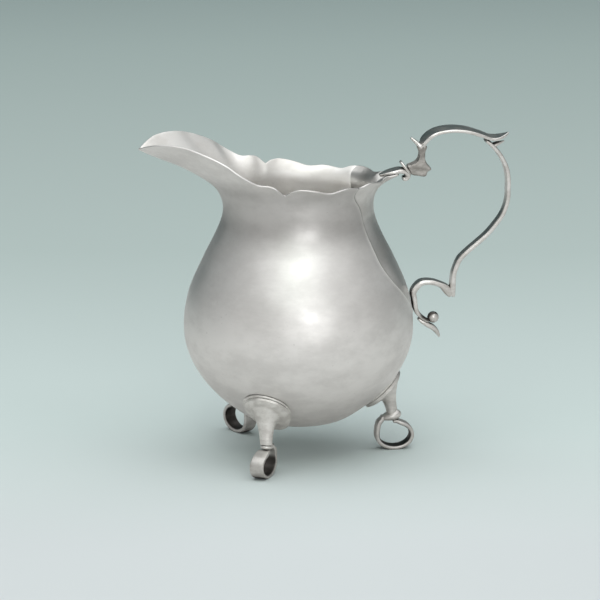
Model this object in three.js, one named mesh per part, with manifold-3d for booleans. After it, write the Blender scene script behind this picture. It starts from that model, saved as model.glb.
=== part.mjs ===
// A small three-footed silver cream jug: raised body with a pulled lip, a back panel let into the
// body under the handle, a scroll handle built up from cast bands, and three cast scroll feet.
// Millimetres, +Z up.  The jug's own axis is drawn at x = 0 and the handle points along +X.
import * as THREE from 'three';
import { mergeVertices } from 'three/addons/utils/BufferGeometryUtils.js';
import Module from 'manifold-3d';

const wasm = await Module();
wasm.setup();

// ---------- driving dimensions ----------
const BELLY_RADIUS = 35.9;       // widest part of the round body
const BELLY_HEIGHT = 42;         // height of the widest part above the ground
const NECK_RADIUS = 23.3;        // narrowest part, just under the rim
const NECK_HEIGHT = 78.5;
const BASE_CLEARANCE = 11;       // underside of the body above the ground
const WALL = 0.65;               // sheet that the body and the panel are raised from
const JOINT_GAP = 0.3;           // solder line between two soldered pieces

const LIP_REACH = 26.5;          // tip of the pouring lip, outwards from the neck
const LIP_RISE = 20.1;           // tip of the pouring lip, above the neck

const PANEL_TOP_ANGLE = 48;      // half width of the back panel at the rim, seen from the axis
const PANEL_NECK_ANGLE = 41.7;   // half width of the back panel at the neck, seen from the axis
const PANEL_WIDE_HALF = 18.3;    // half width of the panel at its widest, on the shoulder
const PANEL_WIDE_DROP = 15;      // the widest part of the panel, below the neck
const PANEL_TIP_DROP = 3.5;      // the panel's point, below the lower handle joint
const TONGUE_REACH = 8;          // end of the panel's tongue, outwards from the neck
const TONGUE_RISE = 9.7;         // end of the panel's tongue, above the neck
const TONGUE_HALF_ANGLE = 5;

const LOWER_JOINT_HEIGHT = 47;   // where the lower scroll lies against the belly
const HANDLE_LEAN = -4.9;        // upper joint measured inwards from the lower joint, as drawn
const HANDLE_RISE = 41.2;         // upper joint above the lower joint, as drawn

const FOOT_COUNT = 3;
const PAD_INSET = 9.5;           // centre of the foot's pad, inwards from the belly
const PAD_LENGTH = 16.6;
const PAD_WIDTH = 14.4;
const PATCH_THICKNESS = 0.5;     // thin backing sheet between the body and the pad
const PAD_EDGE = 0.7;            // thickness of the pad at its edge
const PAD_SAG = 0.7;             // how far the round body falls away from the pad's plane
const STEM_RADIUS = 2.25;
const ANKLE_INSET = 6.6;         // middle of the ankle knop, inwards from the belly
const ANKLE_LIFT = 1.7;          // middle of the ankle knop, above the foot scroll
const KNOP_LENGTH = 6.2;
const KNOP_WIDTH = 5.4;
const KNOP_HEIGHT = 2.2;
const KNOP_TILT = 14;            // degrees, outer end higher
const SCROLL_INSET = 5.6;        // middle of the foot scroll, inwards from the belly
const SCROLL_LENGTH = 12.2;
const SCROLL_HEIGHT = 9.4;
const SCROLL_BAND = 4.4;         // width of the band that the foot scroll is bent from
const SCROLL_THICKNESS = 1.15;
const WORN_FLAT = 0.1;           // metal worn off under each foot, which leaves a small flat

const ROUND_STEPS = [12, 5, 9, 10];   // steps from the lip round to the tongue, by rim stretch

// ---------- small helpers ----------
const degrees = (angle) => angle * Math.PI / 180;
const lerp = (a, b, t) => a + (b - a) * t;
const clamp01 = (t) => Math.min(1, Math.max(0, t));
const point = (x, y, z) => new THREE.Vector3(x, y, z);

// A smooth function through keys [input, value, value, ...], with no overshoot at the ends.
function smoothThrough(keys) {
  const slope = (i, c) => {
    const a = keys[Math.max(0, i - 1)];
    const b = keys[Math.min(keys.length - 1, i + 1)];
    return (b[c] - a[c]) / (b[0] - a[0]);
  };
  return (input) => {
    let i = 0;
    while (i < keys.length - 2 && input > keys[i + 1][0]) i += 1;
    const span = keys[i + 1][0] - keys[i][0];
    const t = clamp01((input - keys[i][0]) / span);
    const h00 = (1 + 2 * t) * (1 - t) ** 2;
    const h10 = t * (1 - t) ** 2;
    const h01 = t * t * (3 - 2 * t);
    const h11 = t * t * (t - 1);
    return keys[i].slice(1).map((value, k) => h00 * value + h10 * span * slope(i, k + 1)
      + h01 * keys[i + 1][k + 1] + h11 * span * slope(i + 1, k + 1));
  };
}

// Skin over a row of rings with the same number of points; a ring of one point is a pole.
function skin(rings) {
  const positions = [];
  const index = [];
  const starts = rings.map((ring) => {
    const start = positions.length / 3;
    ring.forEach((p) => positions.push(p.x, p.y, p.z));
    return start;
  });
  const cap = (ring, start, flip) => {
    if (ring.length === 1) return;
    const middle = ring.reduce((sum, p) => sum.add(p), point(0, 0, 0)).divideScalar(ring.length);
    const centre = positions.length / 3;
    positions.push(middle.x, middle.y, middle.z);
    ring.forEach((p, i) => {
      const j = (i + 1) % ring.length;
      if (flip) index.push(centre, start + j, start + i);
      else index.push(centre, start + i, start + j);
    });
  };
  for (let k = 0; k < rings.length - 1; k += 1) {
    const count = Math.max(rings[k].length, rings[k + 1].length);
    for (let i = 0; i < count; i += 1) {
      const j = (i + 1) % count;
      const a = starts[k] + (rings[k].length > 1 ? i : 0);
      const b = starts[k] + (rings[k].length > 1 ? j : 0);
      const c = starts[k + 1] + (rings[k + 1].length > 1 ? j : 0);
      const d = starts[k + 1] + (rings[k + 1].length > 1 ? i : 0);
      if (rings[k].length > 1) index.push(a, c, b);
      if (rings[k + 1].length > 1) index.push(a, d, c);
    }
  }
  cap(rings[0], starts[0], false);
  cap(rings[rings.length - 1], starts[rings.length - 1], true);
  let volume = 0;
  for (let k = 0; k < index.length; k += 3) {
    const [a, b, c] = [0, 1, 2].map((n) => point(...positions.slice(index[k + n] * 3, index[k + n] * 3 + 3)));
    volume += a.dot(b.cross(c));
  }
  if (volume < 0) index.reverse();
  const geometry = new THREE.BufferGeometry();
  geometry.setAttribute('position', new THREE.Float32BufferAttribute(positions, 3));
  geometry.setIndex(index);
  return geometry;
}

function solid(source) {
  const geometry = source.clone();
  geometry.deleteAttribute('normal');
  geometry.deleteAttribute('uv');
  const merged = mergeVertices(geometry);
  const vertProperties = new Float32Array(merged.attributes.position.array);
  const triVerts = new Uint32Array(merged.index.array);
  return new wasm.Manifold(new wasm.Mesh({ numProp: 3, vertProperties, triVerts }));
}

function geometryOf(manifold) {
  const mesh = manifold.getMesh();
  const geometry = new THREE.BufferGeometry();
  geometry.setAttribute('position', new THREE.BufferAttribute(new Float32Array(mesh.vertProperties), 3));
  geometry.setIndex(new THREE.BufferAttribute(new Uint32Array(mesh.triVerts), 1));
  return geometry;
}

const silver = (color, roughness) => new THREE.MeshStandardMaterial({ color, roughness, metalness: 1 });

function piece(name, geometry, material) {
  const mesh = new THREE.Mesh(geometry, material);
  mesh.name = name;
  geometry.computeVertexNormals();
  return mesh;
}

// ---------- the round body ----------
// Outline of the pear-shaped body from the middle of its underside up to the neck.
const shoulder = (share) => lerp(BELLY_HEIGHT, NECK_HEIGHT, share);
const bodyOutline = new THREE.CatmullRomCurve3([
  point(0, 0, BASE_CLEARANCE),
  point(8.5, 0, BASE_CLEARANCE + 0.1),
  point(14.6, 0, BASE_CLEARANCE + 0.95),
  point(BELLY_RADIUS - 15.8, 0, BASE_CLEARANCE + 4.2),
  point(BELLY_RADIUS - 9.5, 0, BASE_CLEARANCE + 9.6),
  point(BELLY_RADIUS - 4.4, 0, BELLY_HEIGHT - 15.2),
  point(BELLY_RADIUS - 1.03, 0, BELLY_HEIGHT - 7.8),
  point(BELLY_RADIUS, 0, BELLY_HEIGHT - 0.5),
  point(BELLY_RADIUS - 1.5, 0, shoulder(0.2685)),
  point(lerp(NECK_RADIUS, BELLY_RADIUS, 0.547), 0, shoulder(0.5507)),
  point(lerp(NECK_RADIUS, BELLY_RADIUS, 0.1905), 0, shoulder(0.7945)),
  point(NECK_RADIUS + 0.2, 0, shoulder(0.9452)),
  point(NECK_RADIUS, 0, NECK_HEIGHT),
], false, 'centripetal');
const outlinePoints = bodyOutline.getPoints(120);

// Radius of the body at a height above its widest part, or below it when below is true.
function bodyRadius(height) {
  const upper = outlinePoints.filter((p) => p.z > BELLY_HEIGHT - 12);
  for (let i = 1; i < upper.length; i += 1) {
    if (upper[i].z >= height) {
      const t = (height - upper[i - 1].z) / (upper[i].z - upper[i - 1].z);
      return lerp(upper[i - 1].x, upper[i].x, t);
    }
  }
  return NECK_RADIUS;
}

// Rim, by angle from the pouring lip: distance out from the neck and height above it.
const NOTCH = 72;                // the notch where the lip's rim meets the scalloped rim
const LIP_SIDE = 50;             // foot of the lip's slope down to the notch
const lipRim = smoothThrough([
  [0, LIP_REACH, LIP_RISE],
  [5, LIP_REACH - 2.5, LIP_RISE + 1.5],
  [10, LIP_REACH - 4.8, LIP_RISE + 2.4],
  [15, LIP_REACH - 7.8, LIP_RISE + 2.7],
  [20, LIP_REACH - 10.6, LIP_RISE + 2.3],
  [26, 13.5, 21.3],
  [32, 11.1, 19.7],
  [38, 9.2, 17.9],
  [44, 7.9, 15.8],
  [LIP_SIDE, 5.6, 13.5],
  [55, 3.5, 12.0],
  [61, 2.3, 11.8],
  [66.5, 2.0, 11.1],
  [NOTCH, 0.7, 9.1],
]);
const skirtRim = smoothThrough([
  [NOTCH, 0.7, 9.1],
  [77, 1.2, 10.4],
  [84, 1.4, 10.9],
  [94, 1.3, 10.1],
  [105, 1.1, 8.9],
  [118, 1.3, 9.5],
  [180 - PANEL_TOP_ANGLE, 1.2, 8.9],
  [140, 2.1, 9.7],
  [148, 2.8, 9.6],
  [156, 3.0, 9.0],
  [163, 2.9, 8.6],
  [168, 3.4, 8.8],
  [171.5, 4.5, 9.3],
  [180 - TONGUE_HALF_ANGLE, TONGUE_REACH - 0.3, TONGUE_RISE - 0.1],
  [180, TONGUE_REACH, TONGUE_RISE],
]);
const rimAt = (angle) => (angle <= NOTCH ? lipRim(angle) : skirtRim(angle));

// Slope of the sheet where it reaches the rim, in degrees above the horizontal, by the same angle.
const rimSlope = smoothThrough([
  [0, 27], [10, 42], [20, 52], [30, 55], [44, 50], [60, 55],
  [NOTCH, 65], [100, 62], [132, 60], [150, 40], [165, 27], [180, 20],
]);

// A point on the outside of the neck, from t = 0 at the narrow neck to t = 1 at the rim.
function neckPoint(angle, t) {
  const [out, rise] = rimAt(angle);
  const slope = degrees(rimSlope(angle)[0]);
  const arm = 0.5 * Math.hypot(out, rise);
  const arms = [[0, 0], [0, 0.42 * rise],
    [out - arm * Math.cos(slope), rise - arm * Math.sin(slope)], [out, rise]];
  const weights = [(1 - t) ** 3, 3 * t * (1 - t) ** 2, 3 * t * t * (1 - t), t ** 3];
  const sum = (axis) => weights.reduce((total, w, i) => total + w * arms[i][axis], 0);
  return [NECK_RADIUS + sum(0), NECK_HEIGHT + sum(1)];
}

// Angles from the lip round to the tongue and back on the other side, in degrees.
function roundAngles() {
  const stops = [0, LIP_SIDE, NOTCH, 180 - PANEL_TOP_ANGLE, 180];
  const half = [];
  ROUND_STEPS.forEach((steps, i) => {
    for (let k = 0; k < steps; k += 1) half.push(lerp(stops[i], stops[i + 1], k / steps));
  });
  return [...half, 180, ...half.slice(1).reverse().map((angle) => -angle)];
}
const angles = roundAngles();
const around = (angle, reach, height) => point(
  -reach * Math.cos(degrees(angle)), -reach * Math.sin(degrees(angle)), height);

// Rings of the outside of the shell, from just above the bottom pole up to the rim.
function outsideRings(bodySteps, neckSteps) {
  const rings = [];
  for (let k = 1; k <= bodySteps; k += 1) {
    const p = bodyOutline.getPointAt(k / bodySteps);
    rings.push(angles.map((angle) => around(angle, p.x, p.z)));
  }
  for (let k = 1; k <= neckSteps; k += 1) {
    rings.push(angles.map((angle) => {
      const [reach, height] = neckPoint(Math.abs(angle), k / neckSteps);
      return around(angle, reach, height);
    }));
  }
  return rings;
}

// The same rings moved inwards along the surface normal by a depth.
function movedIn(rings, depth) {
  return rings.map((ring, k) => ring.map((p, i) => {
    const left = ring[(i + ring.length - 1) % ring.length];
    const right = ring[(i + 1) % ring.length];
    const above = rings[Math.min(rings.length - 1, k + 1)][i];
    const below = rings[Math.max(0, k - 1)][i];
    const normal = right.clone().sub(left).cross(above.clone().sub(below)).normalize();
    const outward = normal.dot(point(p.x, p.y, -BASE_CLEARANCE)) < 0 ? -1 : 1;
    return p.clone().addScaledVector(normal, -depth * outward);
  }));
}

// The whole raised shell, thicker by grow on both faces.
function shellGeometry(grow) {
  const middle = outsideRings(11, 7);
  const outside = grow > 0 ? movedIn(middle, -grow) : middle;
  const inside = movedIn(middle, WALL + grow);
  const underside = [point(0, 0, BASE_CLEARANCE - grow)];
  const floor = [point(0, 0, BASE_CLEARANCE + WALL + grow)];
  return skin([underside, ...outside, ...inside.reverse(), floor]);
}

const PANEL_TIP_HALF = 1.2;      // half width of the panel's blunt point
const PANEL_EDGE_STEPS = 22;
const BLOCK_MARGIN = 8;          // how far a cutting block runs past what it cuts
// A leaf-shaped block along +X: the back panel's outline, smaller by inset on every side.
function panelBlock(inset) {
  const neckHalf = NECK_RADIUS * Math.sin(degrees(PANEL_NECK_ANGLE));
  const wideHeight = NECK_HEIGHT - PANEL_WIDE_DROP;
  const tipHeight = LOWER_JOINT_HEIGHT - PANEL_TIP_DROP;
  const corners = [
    [neckHalf + 6, NECK_HEIGHT + 11.5],
    [neckHalf + 3.8, NECK_HEIGHT + 6.7],
    [neckHalf + 1.5, NECK_HEIGHT + 2.5],
    [neckHalf, NECK_HEIGHT - 1.5],
    [lerp(neckHalf, PANEL_WIDE_HALF, 0.42), lerp(wideHeight, NECK_HEIGHT, 0.53)],
    [PANEL_WIDE_HALF, wideHeight],
    [PANEL_WIDE_HALF - 1.0, lerp(tipHeight, wideHeight, 0.74)],
    [PANEL_WIDE_HALF - 3.8, lerp(tipHeight, wideHeight, 0.51)],
    [PANEL_WIDE_HALF * 0.47, lerp(tipHeight, wideHeight, 0.24)],
    [PANEL_TIP_HALF, tipHeight + inset],
  ];
  const half = corners.map(([side, height]) => new THREE.Vector2(side - inset, height));
  const edge = new THREE.SplineCurve(half).getPoints(PANEL_EDGE_STEPS);
  const top = NECK_HEIGHT + LIP_RISE + BLOCK_MARGIN;
  const leaf = new THREE.Shape([
    new THREE.Vector2(edge[0].x, top),
    ...edge,
    ...edge.map((p) => new THREE.Vector2(-p.x, p.y)).reverse(),
    new THREE.Vector2(-edge[0].x, top),
  ]);
  const depth = BELLY_RADIUS + BLOCK_MARGIN;
  const block = new THREE.ExtrudeGeometry(leaf, { depth, bevelEnabled: false });
  block.rotateX(Math.PI / 2);
  block.rotateZ(Math.PI / 2);
  return solid(block);
}

// ---------- handle ----------
const COLLAR_LENGTH = 5.2;
const COLLAR_THICKNESS = 0.5;
const COLLAR_LEAN = 42;          // degrees, inner edge higher
const lowerJointX = bodyRadius(LOWER_JOINT_HEIGHT) + JOINT_GAP;
const upperJointX = NECK_RADIUS + TONGUE_REACH;
const upperJointZ = NECK_HEIGHT + TONGUE_RISE;

// Handle points are drawn from the lower joint; the upper ones follow the upper joint.
function handlePoint(out, up) {
  const share = clamp01(up / HANDLE_RISE);
  const x = lowerJointX + out + share * (upperJointX - lowerJointX - HANDLE_LEAN);
  const z = LOWER_JOINT_HEIGHT + up + share * (upperJointZ - LOWER_JOINT_HEIGHT - HANDLE_RISE);
  return point(x, 0, z);
}

// A band in an upright plane: path keys are [out, up, width, thickness]; the section is a flat
// strip with its corners taken off.  place turns out and up into a point, side is the band's
// width direction, and grow makes the band larger on every side.
function band(keys, steps, place, side, grow = 0) {
  const curve = new THREE.CatmullRomCurve3(keys.map((key) => place(key[0], key[1])), false, 'centripetal');
  const sizes = smoothThrough(keys.map((key, i) => [i / (keys.length - 1), key[2], key[3]]));
  const rings = [];
  for (let k = 0; k <= steps; k += 1) {
    const t = k / steps;
    const middle = curve.getPoint(t);
    const normal = curve.getTangent(t).cross(side).normalize();
    const [width, thickness] = sizes(t);
    const corner = 0.3 * Math.min(width, thickness);
    const w = width / 2 + grow;
    const h = thickness / 2 + grow;
    const outline = [[w, h - corner], [w - corner, h], [corner - w, h], [-w, h - corner],
      [-w, corner - h], [corner - w, -h], [w - corner, -h], [w, corner - h]];
    rings.push(outline.map(([a, b]) => middle.clone().addScaledVector(side, a).addScaledVector(normal, b)));
  }
  return skin(rings);
}
const acrossHandle = point(0, 1, 0);
const handleBand = (keys, steps, grow) => band(keys, steps, handlePoint, acrossHandle, grow);

// A block of constant width cut to an outline of handle points.
function handleBlock(outline, width) {
  const corners = outline.map(([out, up]) => handlePoint(out, up)).map((p) => new THREE.Vector2(p.x, p.z));
  const edge = new THREE.SplineCurve([...corners, corners[0]]).getPoints(3 * corners.length).slice(0, -1);
  const block = new THREE.ExtrudeGeometry(new THREE.Shape(edge), { depth: width, bevelEnabled: false });
  block.rotateX(Math.PI / 2);
  block.translate(0, width / 2, 0);
  return block;
}

// Strap on the panel's tongue; its outer end curls under into a small scroll.
const upperStrap = (grow) => handleBand([
  [-10.9, 40.9, 1.6, 0.7], [-8.6, 41.6, 4.6, 0.9], [-6.6, 42.15, 5.4, 1], [-4.4, 42.5, 5.2, 1.1],
  [-2.9, 42.0, 4.8, 1.1], [-2.4, 40.8, 4.4, 1], [-3.1, 39.75, 4, 0.9], [-3.95, 39.9, 3.6, 0.6],
], 16, grow);

// Oval collar plate standing aslant on the strap, where the handle's root is soldered on.
function handleCollar(grow) {
  const plate = new THREE.CylinderGeometry(COLLAR_LENGTH / 2 + grow, COLLAR_LENGTH / 2 + grow,
    COLLAR_THICKNESS + 2 * grow, 20);
  plate.rotateX(Math.PI / 2);
  plate.rotateY(degrees(COLLAR_LEAN));
  const centre = handlePoint(-2.5, 43.7);
  plate.translate(centre.x, centre.y, centre.z);
  return plate;
}

// Knuckle and stalk: the root of the handle, with a leaf point at its outer lower corner.
const handleRoot = () => handleBlock([
  [2.0, 49.1], [1.95, 47.2], [1.35, 45.7], [0.1, 44.75], [-1.25, 44.5], [0.35, 42.1], [1.4, 41.2],
  [2.9, 40.7], [3.8, 41.2], [5.0, 42.6], [4.15, 44.3], [3.35, 46], [3.05, 47.5], [3.1, 49.1],
], 3.8);

const thumbSpur = (grow) => handleBand([
  [1.85, 50.0, 4.0, 0.8], [0.6, 51.0, 3.2, 0.85], [-0.5, 51.9, 1.8, 0.7], [-1.1, 52.6, 0.6, 0.45],
], 6, grow);

const handleArch = (grow) => handleBand([
  [2.35, 49.85, 4.4, 0.8], [3.2, 51.75, 6.0, 1.0], [4.6, 53.15, 7.2, 1.0], [6.5, 54.2, 8.0, 1.0],
  [9.4, 54.95, 8.4, 1.0], [12.4, 55.1, 8.4, 1.0], [16.4, 54.5, 8.4, 1.0], [20.4, 53.25, 8.0, 1.0],
  [23.9, 51.95, 7.2, 0.95], [25.5, 51.85, 6.8, 0.9], [27.1, 52.15, 5.2, 0.85], [28.7, 52.7, 3.0, 0.7],
  [29.9, 53.4, 0.8, 0.4],
], 22, grow);

// Main grip, from under the arch round to the lower scroll, with a small spur near its top.
function gripRod(grow) {
  const rod = handleBand([
    [22.3, 51.1, 4.8, 0.8], [23.9, 49.9, 5.0, 1.0], [25.7, 48.0, 5.0, 1.1], [27.5, 45.4, 4.8, 1.15],
    [28.9, 42.2, 4.6, 1.15], [29.65, 38.5, 4.4, 1.15], [29.8, 36, 4.2, 1.15], [29.6, 33, 4.2, 1.15],
    [29.0, 30.2, 4.0, 1.15], [27.9, 27.4, 4.0, 1.15], [25.9, 24.5, 4.0, 1.15],
    [23.2, 21.3, 4.0, 1.2], [19.8, 18.3, 4.0, 1.2], [16.35, 15.3, 4.0, 1.25],
    [14.7, 13.5, 4.0, 1.25], [13.7, 11.3, 4.0, 1.25], [13.0, 9, 4.0, 1.2], [12.75, 6, 3.8, 1.1],
    [12.7, 3.4, 3.4, 1.0], [12.9, 1.4, 3.0, 0.8],
  ], 30, grow);
  const spur = handleBand([
    [24.4, 49.3, 3.6, 0.9], [26.0, 49.9, 3.0, 0.9], [27.2, 50.3, 1.8, 0.6], [28.3, 50.65, 0.6, 0.35],
  ], 5, grow);
  return geometryOf(solid(rod).add(solid(spur)));
}

const BUD_RADIUS = 1.8;
const LOWER_BAND = 1.3;          // thickness of the lower scroll
const LOWER_BAND_WIDTH = 4.4;
// How far the belly falls away from the lower joint at a height above it.
const fall = (up) => bodyRadius(LOWER_JOINT_HEIGHT + up) - bodyRadius(LOWER_JOINT_HEIGHT);

// C-shaped lower scroll, lying against the belly and ending at the bud.
function lowerScroll(grow) {
  const rest = LOWER_BAND / 2;
  return handleBand([
    [11.35, 2.55, 3.2, 1.2], [10.4, 4.2, LOWER_BAND_WIDTH, 1.6], [8.6, 5.6, LOWER_BAND_WIDTH, LOWER_BAND],
    [6.6, 6.45, LOWER_BAND_WIDTH, LOWER_BAND], [4.6, 6.75, LOWER_BAND_WIDTH, LOWER_BAND],
    [2.7, 6.5, LOWER_BAND_WIDTH, LOWER_BAND], [1.35, 5.5, LOWER_BAND_WIDTH, LOWER_BAND],
    [rest + 0.1 + fall(3.4), 3.4, LOWER_BAND_WIDTH, LOWER_BAND],
    [rest, 1, LOWER_BAND_WIDTH, LOWER_BAND],
    [rest + 0.2, -1.2, LOWER_BAND_WIDTH, LOWER_BAND],
    [rest + 0.75, -3.0, 4.0, 1.25], [rest + 2.0, -4.5, 3.6, 1.1], [rest + 3.1, -5.25, 3.2, 0.9],
  ], 26, grow);
}

// Round bud at the end of the lower scroll.
function scrollBud(grow) {
  const bud = new THREE.SphereGeometry(BUD_RADIUS + grow, 12, 8);
  const centre = handlePoint(6.75, -4.95);
  bud.translate(centre.x, centre.y, centre.z);
  return bud;
}

// Tail that leaves the lower scroll downwards and ends in a point.
const scrollTail = () => handleBand([
  [3.0, -6.1, 2.4, 0.6], [4.9, -6.9, 3.2, 0.9], [6.8, -8.15, 3.0, 1.0], [7.95, -9.75, 2.2, 0.9],
  [8.75, -11.35, 0.8, 0.4],
], 8);

// ---------- feet, drawn under the handle at y = 0 and turned about the axis ----------
const ENVELOPE_SIDES = 66;
// Round envelope of the body, larger than it by an offset, for pieces that are fitted to it.
function bodyEnvelope(offset) {
  const steps = 16;
  const rings = [[point(0, 0, BASE_CLEARANCE - offset)]];
  for (let k = 1; k <= steps; k += 1) {
    const t = 0.62 * k / steps;
    const p = bodyOutline.getPointAt(t);
    const tangent = bodyOutline.getTangentAt(t);
    const reach = p.x + offset * tangent.z;
    const height = p.z - offset * tangent.x;
    const ring = [];
    for (let i = 0; i < ENVELOPE_SIDES; i += 1) {
      const turn = degrees(360 * i / ENVELOPE_SIDES);
      ring.push(point(reach * Math.cos(turn), reach * Math.sin(turn), height));
    }
    rings.push(ring);
  }
  return solid(skin(rings));
}

// The point of the body where the pad is centred, and the body's outward normal there.
function padFrame() {
  const i = outlinePoints.findIndex((p) => p.x >= BELLY_RADIUS - PAD_INSET);
  const centre = outlinePoints[i].clone();
  const along = outlinePoints[i + 1].clone().sub(outlinePoints[i - 1]).normalize();
  const normal = point(along.z, 0, -along.x);
  return { centre, along, normal };
}
const pad = padFrame();
const ankleReach = BELLY_RADIUS - ANKLE_INSET;
const ankleHeight = SCROLL_HEIGHT + ANKLE_LIFT;
const scrollReach = BELLY_RADIUS - SCROLL_INSET;

// An oval ring round a point: half length in the foot's upright plane, half width across it.
function oval(centre, along, halfLength, halfWidth, count = 18) {
  const ring = [];
  for (let i = 0; i < count; i += 1) {
    const turn = degrees(360 * i / count);
    ring.push(centre.clone().addScaledVector(along, halfLength * Math.cos(turn))
      .add(point(0, halfWidth * Math.sin(turn), 0)));
  }
  return ring;
}
const overPad = (depth) => pad.centre.clone().addScaledVector(pad.normal, depth);

const PAD_BLANK = 3;             // depth of the blank that is cut to the body behind the pad
function footPatch() {
  const edge = 0.35;
  const blank = skin([-PAD_BLANK, PAD_BLANK].map((depth) => oval(
    overPad(depth), pad.along, PAD_LENGTH / 2 + edge, PAD_WIDTH / 2 + edge, 24)));
  const outer = bodyEnvelope(JOINT_GAP + PATCH_THICKNESS);
  return geometryOf(solid(blank).intersect(outer).subtract(bodyEnvelope(JOINT_GAP)));
}

// Domed pad that draws in to a round stem, ending just above the ankle knop.
function footLeg() {
  const seat = 2 * JOINT_GAP + PATCH_THICKNESS;
  const rim = seat + PAD_EDGE - PAD_SAG;
  const down = (share) => point(lerp(pad.centre.x, ankleReach, share) + 0.9 * Math.sin(Math.PI * share), 0,
    lerp(pad.centre.z, ankleHeight, share));
  const lean = (share) => point(lerp(pad.along.x, 1, share), 0, lerp(pad.along.z, 0.15, share)).normalize();
  const rings = [
    oval(overPad(-PAD_BLANK), pad.along, PAD_LENGTH / 2, PAD_WIDTH / 2),
    oval(overPad(rim), pad.along, PAD_LENGTH / 2, PAD_WIDTH / 2),
    oval(overPad(rim + 0.6), pad.along, PAD_LENGTH / 2 - 1, PAD_WIDTH / 2 - 1),
    oval(overPad(rim + 1.15), pad.along, 4.7, 4.4),
    oval(down(0.34), lean(0.5), 3.3, 3.2),
    oval(down(0.48), lean(0.8), STEM_RADIUS + 0.35, STEM_RADIUS + 0.3),
    oval(down(0.66), lean(0.95), STEM_RADIUS, STEM_RADIUS),
    oval(down(0.84), lean(1), STEM_RADIUS + 0.05, STEM_RADIUS + 0.1),
  ];
  return geometryOf(solid(skin(rings)).subtract(bodyEnvelope(seat)).subtract(solid(knopBlank(JOINT_GAP))));
}

// Bead-shaped knop at the ankle, larger by grow on every side.
function knopBlank(grow) {
  const knop = new THREE.SphereGeometry(1, 14, 7);
  knop.rotateX(Math.PI / 2);
  knop.scale(KNOP_LENGTH / 2 + grow, KNOP_WIDTH / 2 + grow, KNOP_HEIGHT / 2 + grow);
  knop.rotateY(-degrees(KNOP_TILT));
  knop.translate(ankleReach, 0, ankleHeight);
  return knop;
}

const SCROLL_START = 175;        // degrees round the scroll's ellipse, from its inner side
const SCROLL_END = 430;
const SCROLL_KEYS = 10;
// Band bent round into a scroll, open under the ankle, standing on its worn lowest point.
function footScroll() {
  const a = SCROLL_LENGTH / 2 - SCROLL_THICKNESS / 2;
  const b = SCROLL_HEIGHT / 2 - SCROLL_THICKNESS / 2;
  const middle = SCROLL_HEIGHT / 2 - WORN_FLAT;
  const keys = [
    [ankleReach - 2.75, ankleHeight - 1.15, 3.2, 1.3],
    [ankleReach - 3.9, ankleHeight - 2.7, 4.0, 1.4],
  ];
  for (let k = 0; k <= SCROLL_KEYS; k += 1) {
    const share = k / SCROLL_KEYS;
    const turn = degrees(lerp(SCROLL_START, SCROLL_END, share));
    keys.push([scrollReach + a * Math.cos(turn), middle + b * Math.sin(turn),
      SCROLL_BAND, lerp(SCROLL_THICKNESS + 0.15, SCROLL_THICKNESS - 0.35, share)]);
  }
  keys.push([scrollReach - 0.5, middle + b - 0.75, 3.6, 0.7]);
  const place = (x, z) => point(x, 0, z);
  const ring = solid(band(keys, 26, place, acrossHandle));
  const ground = new THREE.BoxGeometry(3 * SCROLL_LENGTH, 3 * SCROLL_LENGTH, SCROLL_HEIGHT);
  ground.translate(scrollReach, 0, -SCROLL_HEIGHT / 2);
  return geometryOf(ring.subtract(solid(ground)).subtract(solid(knopBlank(JOINT_GAP))));
}

// ---------- assembly ----------
const sheetSilver = silver(0xb9b7b0, 0.32);
const panelSilver = silver(0xaeada7, 0.34);
const handleSilver = silver(0xc6c5c0, 0.22);
const footSilver = silver(0xbdbbb5, 0.28);

const jug = new THREE.Group();
const shell = solid(shellGeometry(0));
jug.add(piece('body', geometryOf(shell.subtract(panelBlock(0))), sheetSilver));
jug.add(piece('back_panel', geometryOf(shell.intersect(panelBlock(JOINT_GAP))), panelSilver));

// Each handle piece with the neighbours that it is fitted to, a joint gap away from them.
const sheet = shellGeometry;
const handlePieces = [
  ['upper_strap', upperStrap, [sheet]],
  ['handle_collar', handleCollar, [sheet, upperStrap]],
  ['handle_arch', handleArch, []],
  ['thumb_spur', thumbSpur, [handleArch]],
  ['handle_root', handleRoot, [handleArch, thumbSpur, handleCollar, upperStrap]],
  ['grip_rod', gripRod, [handleArch]],
  ['scroll_bud', scrollBud, []],
  ['lower_scroll', lowerScroll, [sheet, gripRod, scrollBud]],
  ['scroll_tail', scrollTail, [lowerScroll, scrollBud, sheet]],
];
for (const [name, make, neighbours] of handlePieces) {
  const fitted = neighbours.reduce((left, other) => left.subtract(solid(other(JOINT_GAP))), solid(make(0)));
  jug.add(piece(name, geometryOf(fitted), handleSilver));
}

const footPieces = {
  foot_patch: footPatch,
  foot_leg: footLeg,
  foot_knop: () => geometryOf(solid(knopBlank(0))),
  foot_scroll: footScroll,
};
for (const [name, make] of Object.entries(footPieces)) {
  const geometry = make();
  for (let k = 0; k < FOOT_COUNT; k += 1) {
    const foot = piece(`${name}_${k + 1}`, geometry.clone(), footSilver);
    foot.rotation.z = degrees(360 * k / FOOT_COUNT);
    jug.add(foot);
  }
}

// The frame's origin is the middle of the jug's overall length, on the ground.
jug.updateMatrixWorld(true);
const extent = new THREE.Box3().setFromObject(jug, true);
jug.position.x = -(extent.min.x + extent.max.x) / 2;

export default jug;
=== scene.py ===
# %% [markdown]
# # A small silver cream jug
# The jug is a pear-shaped body raised from one sheet of silver, with a pulled lip, a scalloped rim,
# a panel let in at the back, a cast double-scroll handle and three cast scroll feet. The CAD frame
# already holds every size and place. Here each piece gets its fine surface, its edges and its
# finish, in the same frame and in metres. The frame is loaded first.

# %% Load the frame
import math

import bmesh
import bpy
import numpy as np
from mathutils import Matrix, Vector, noise


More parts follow.
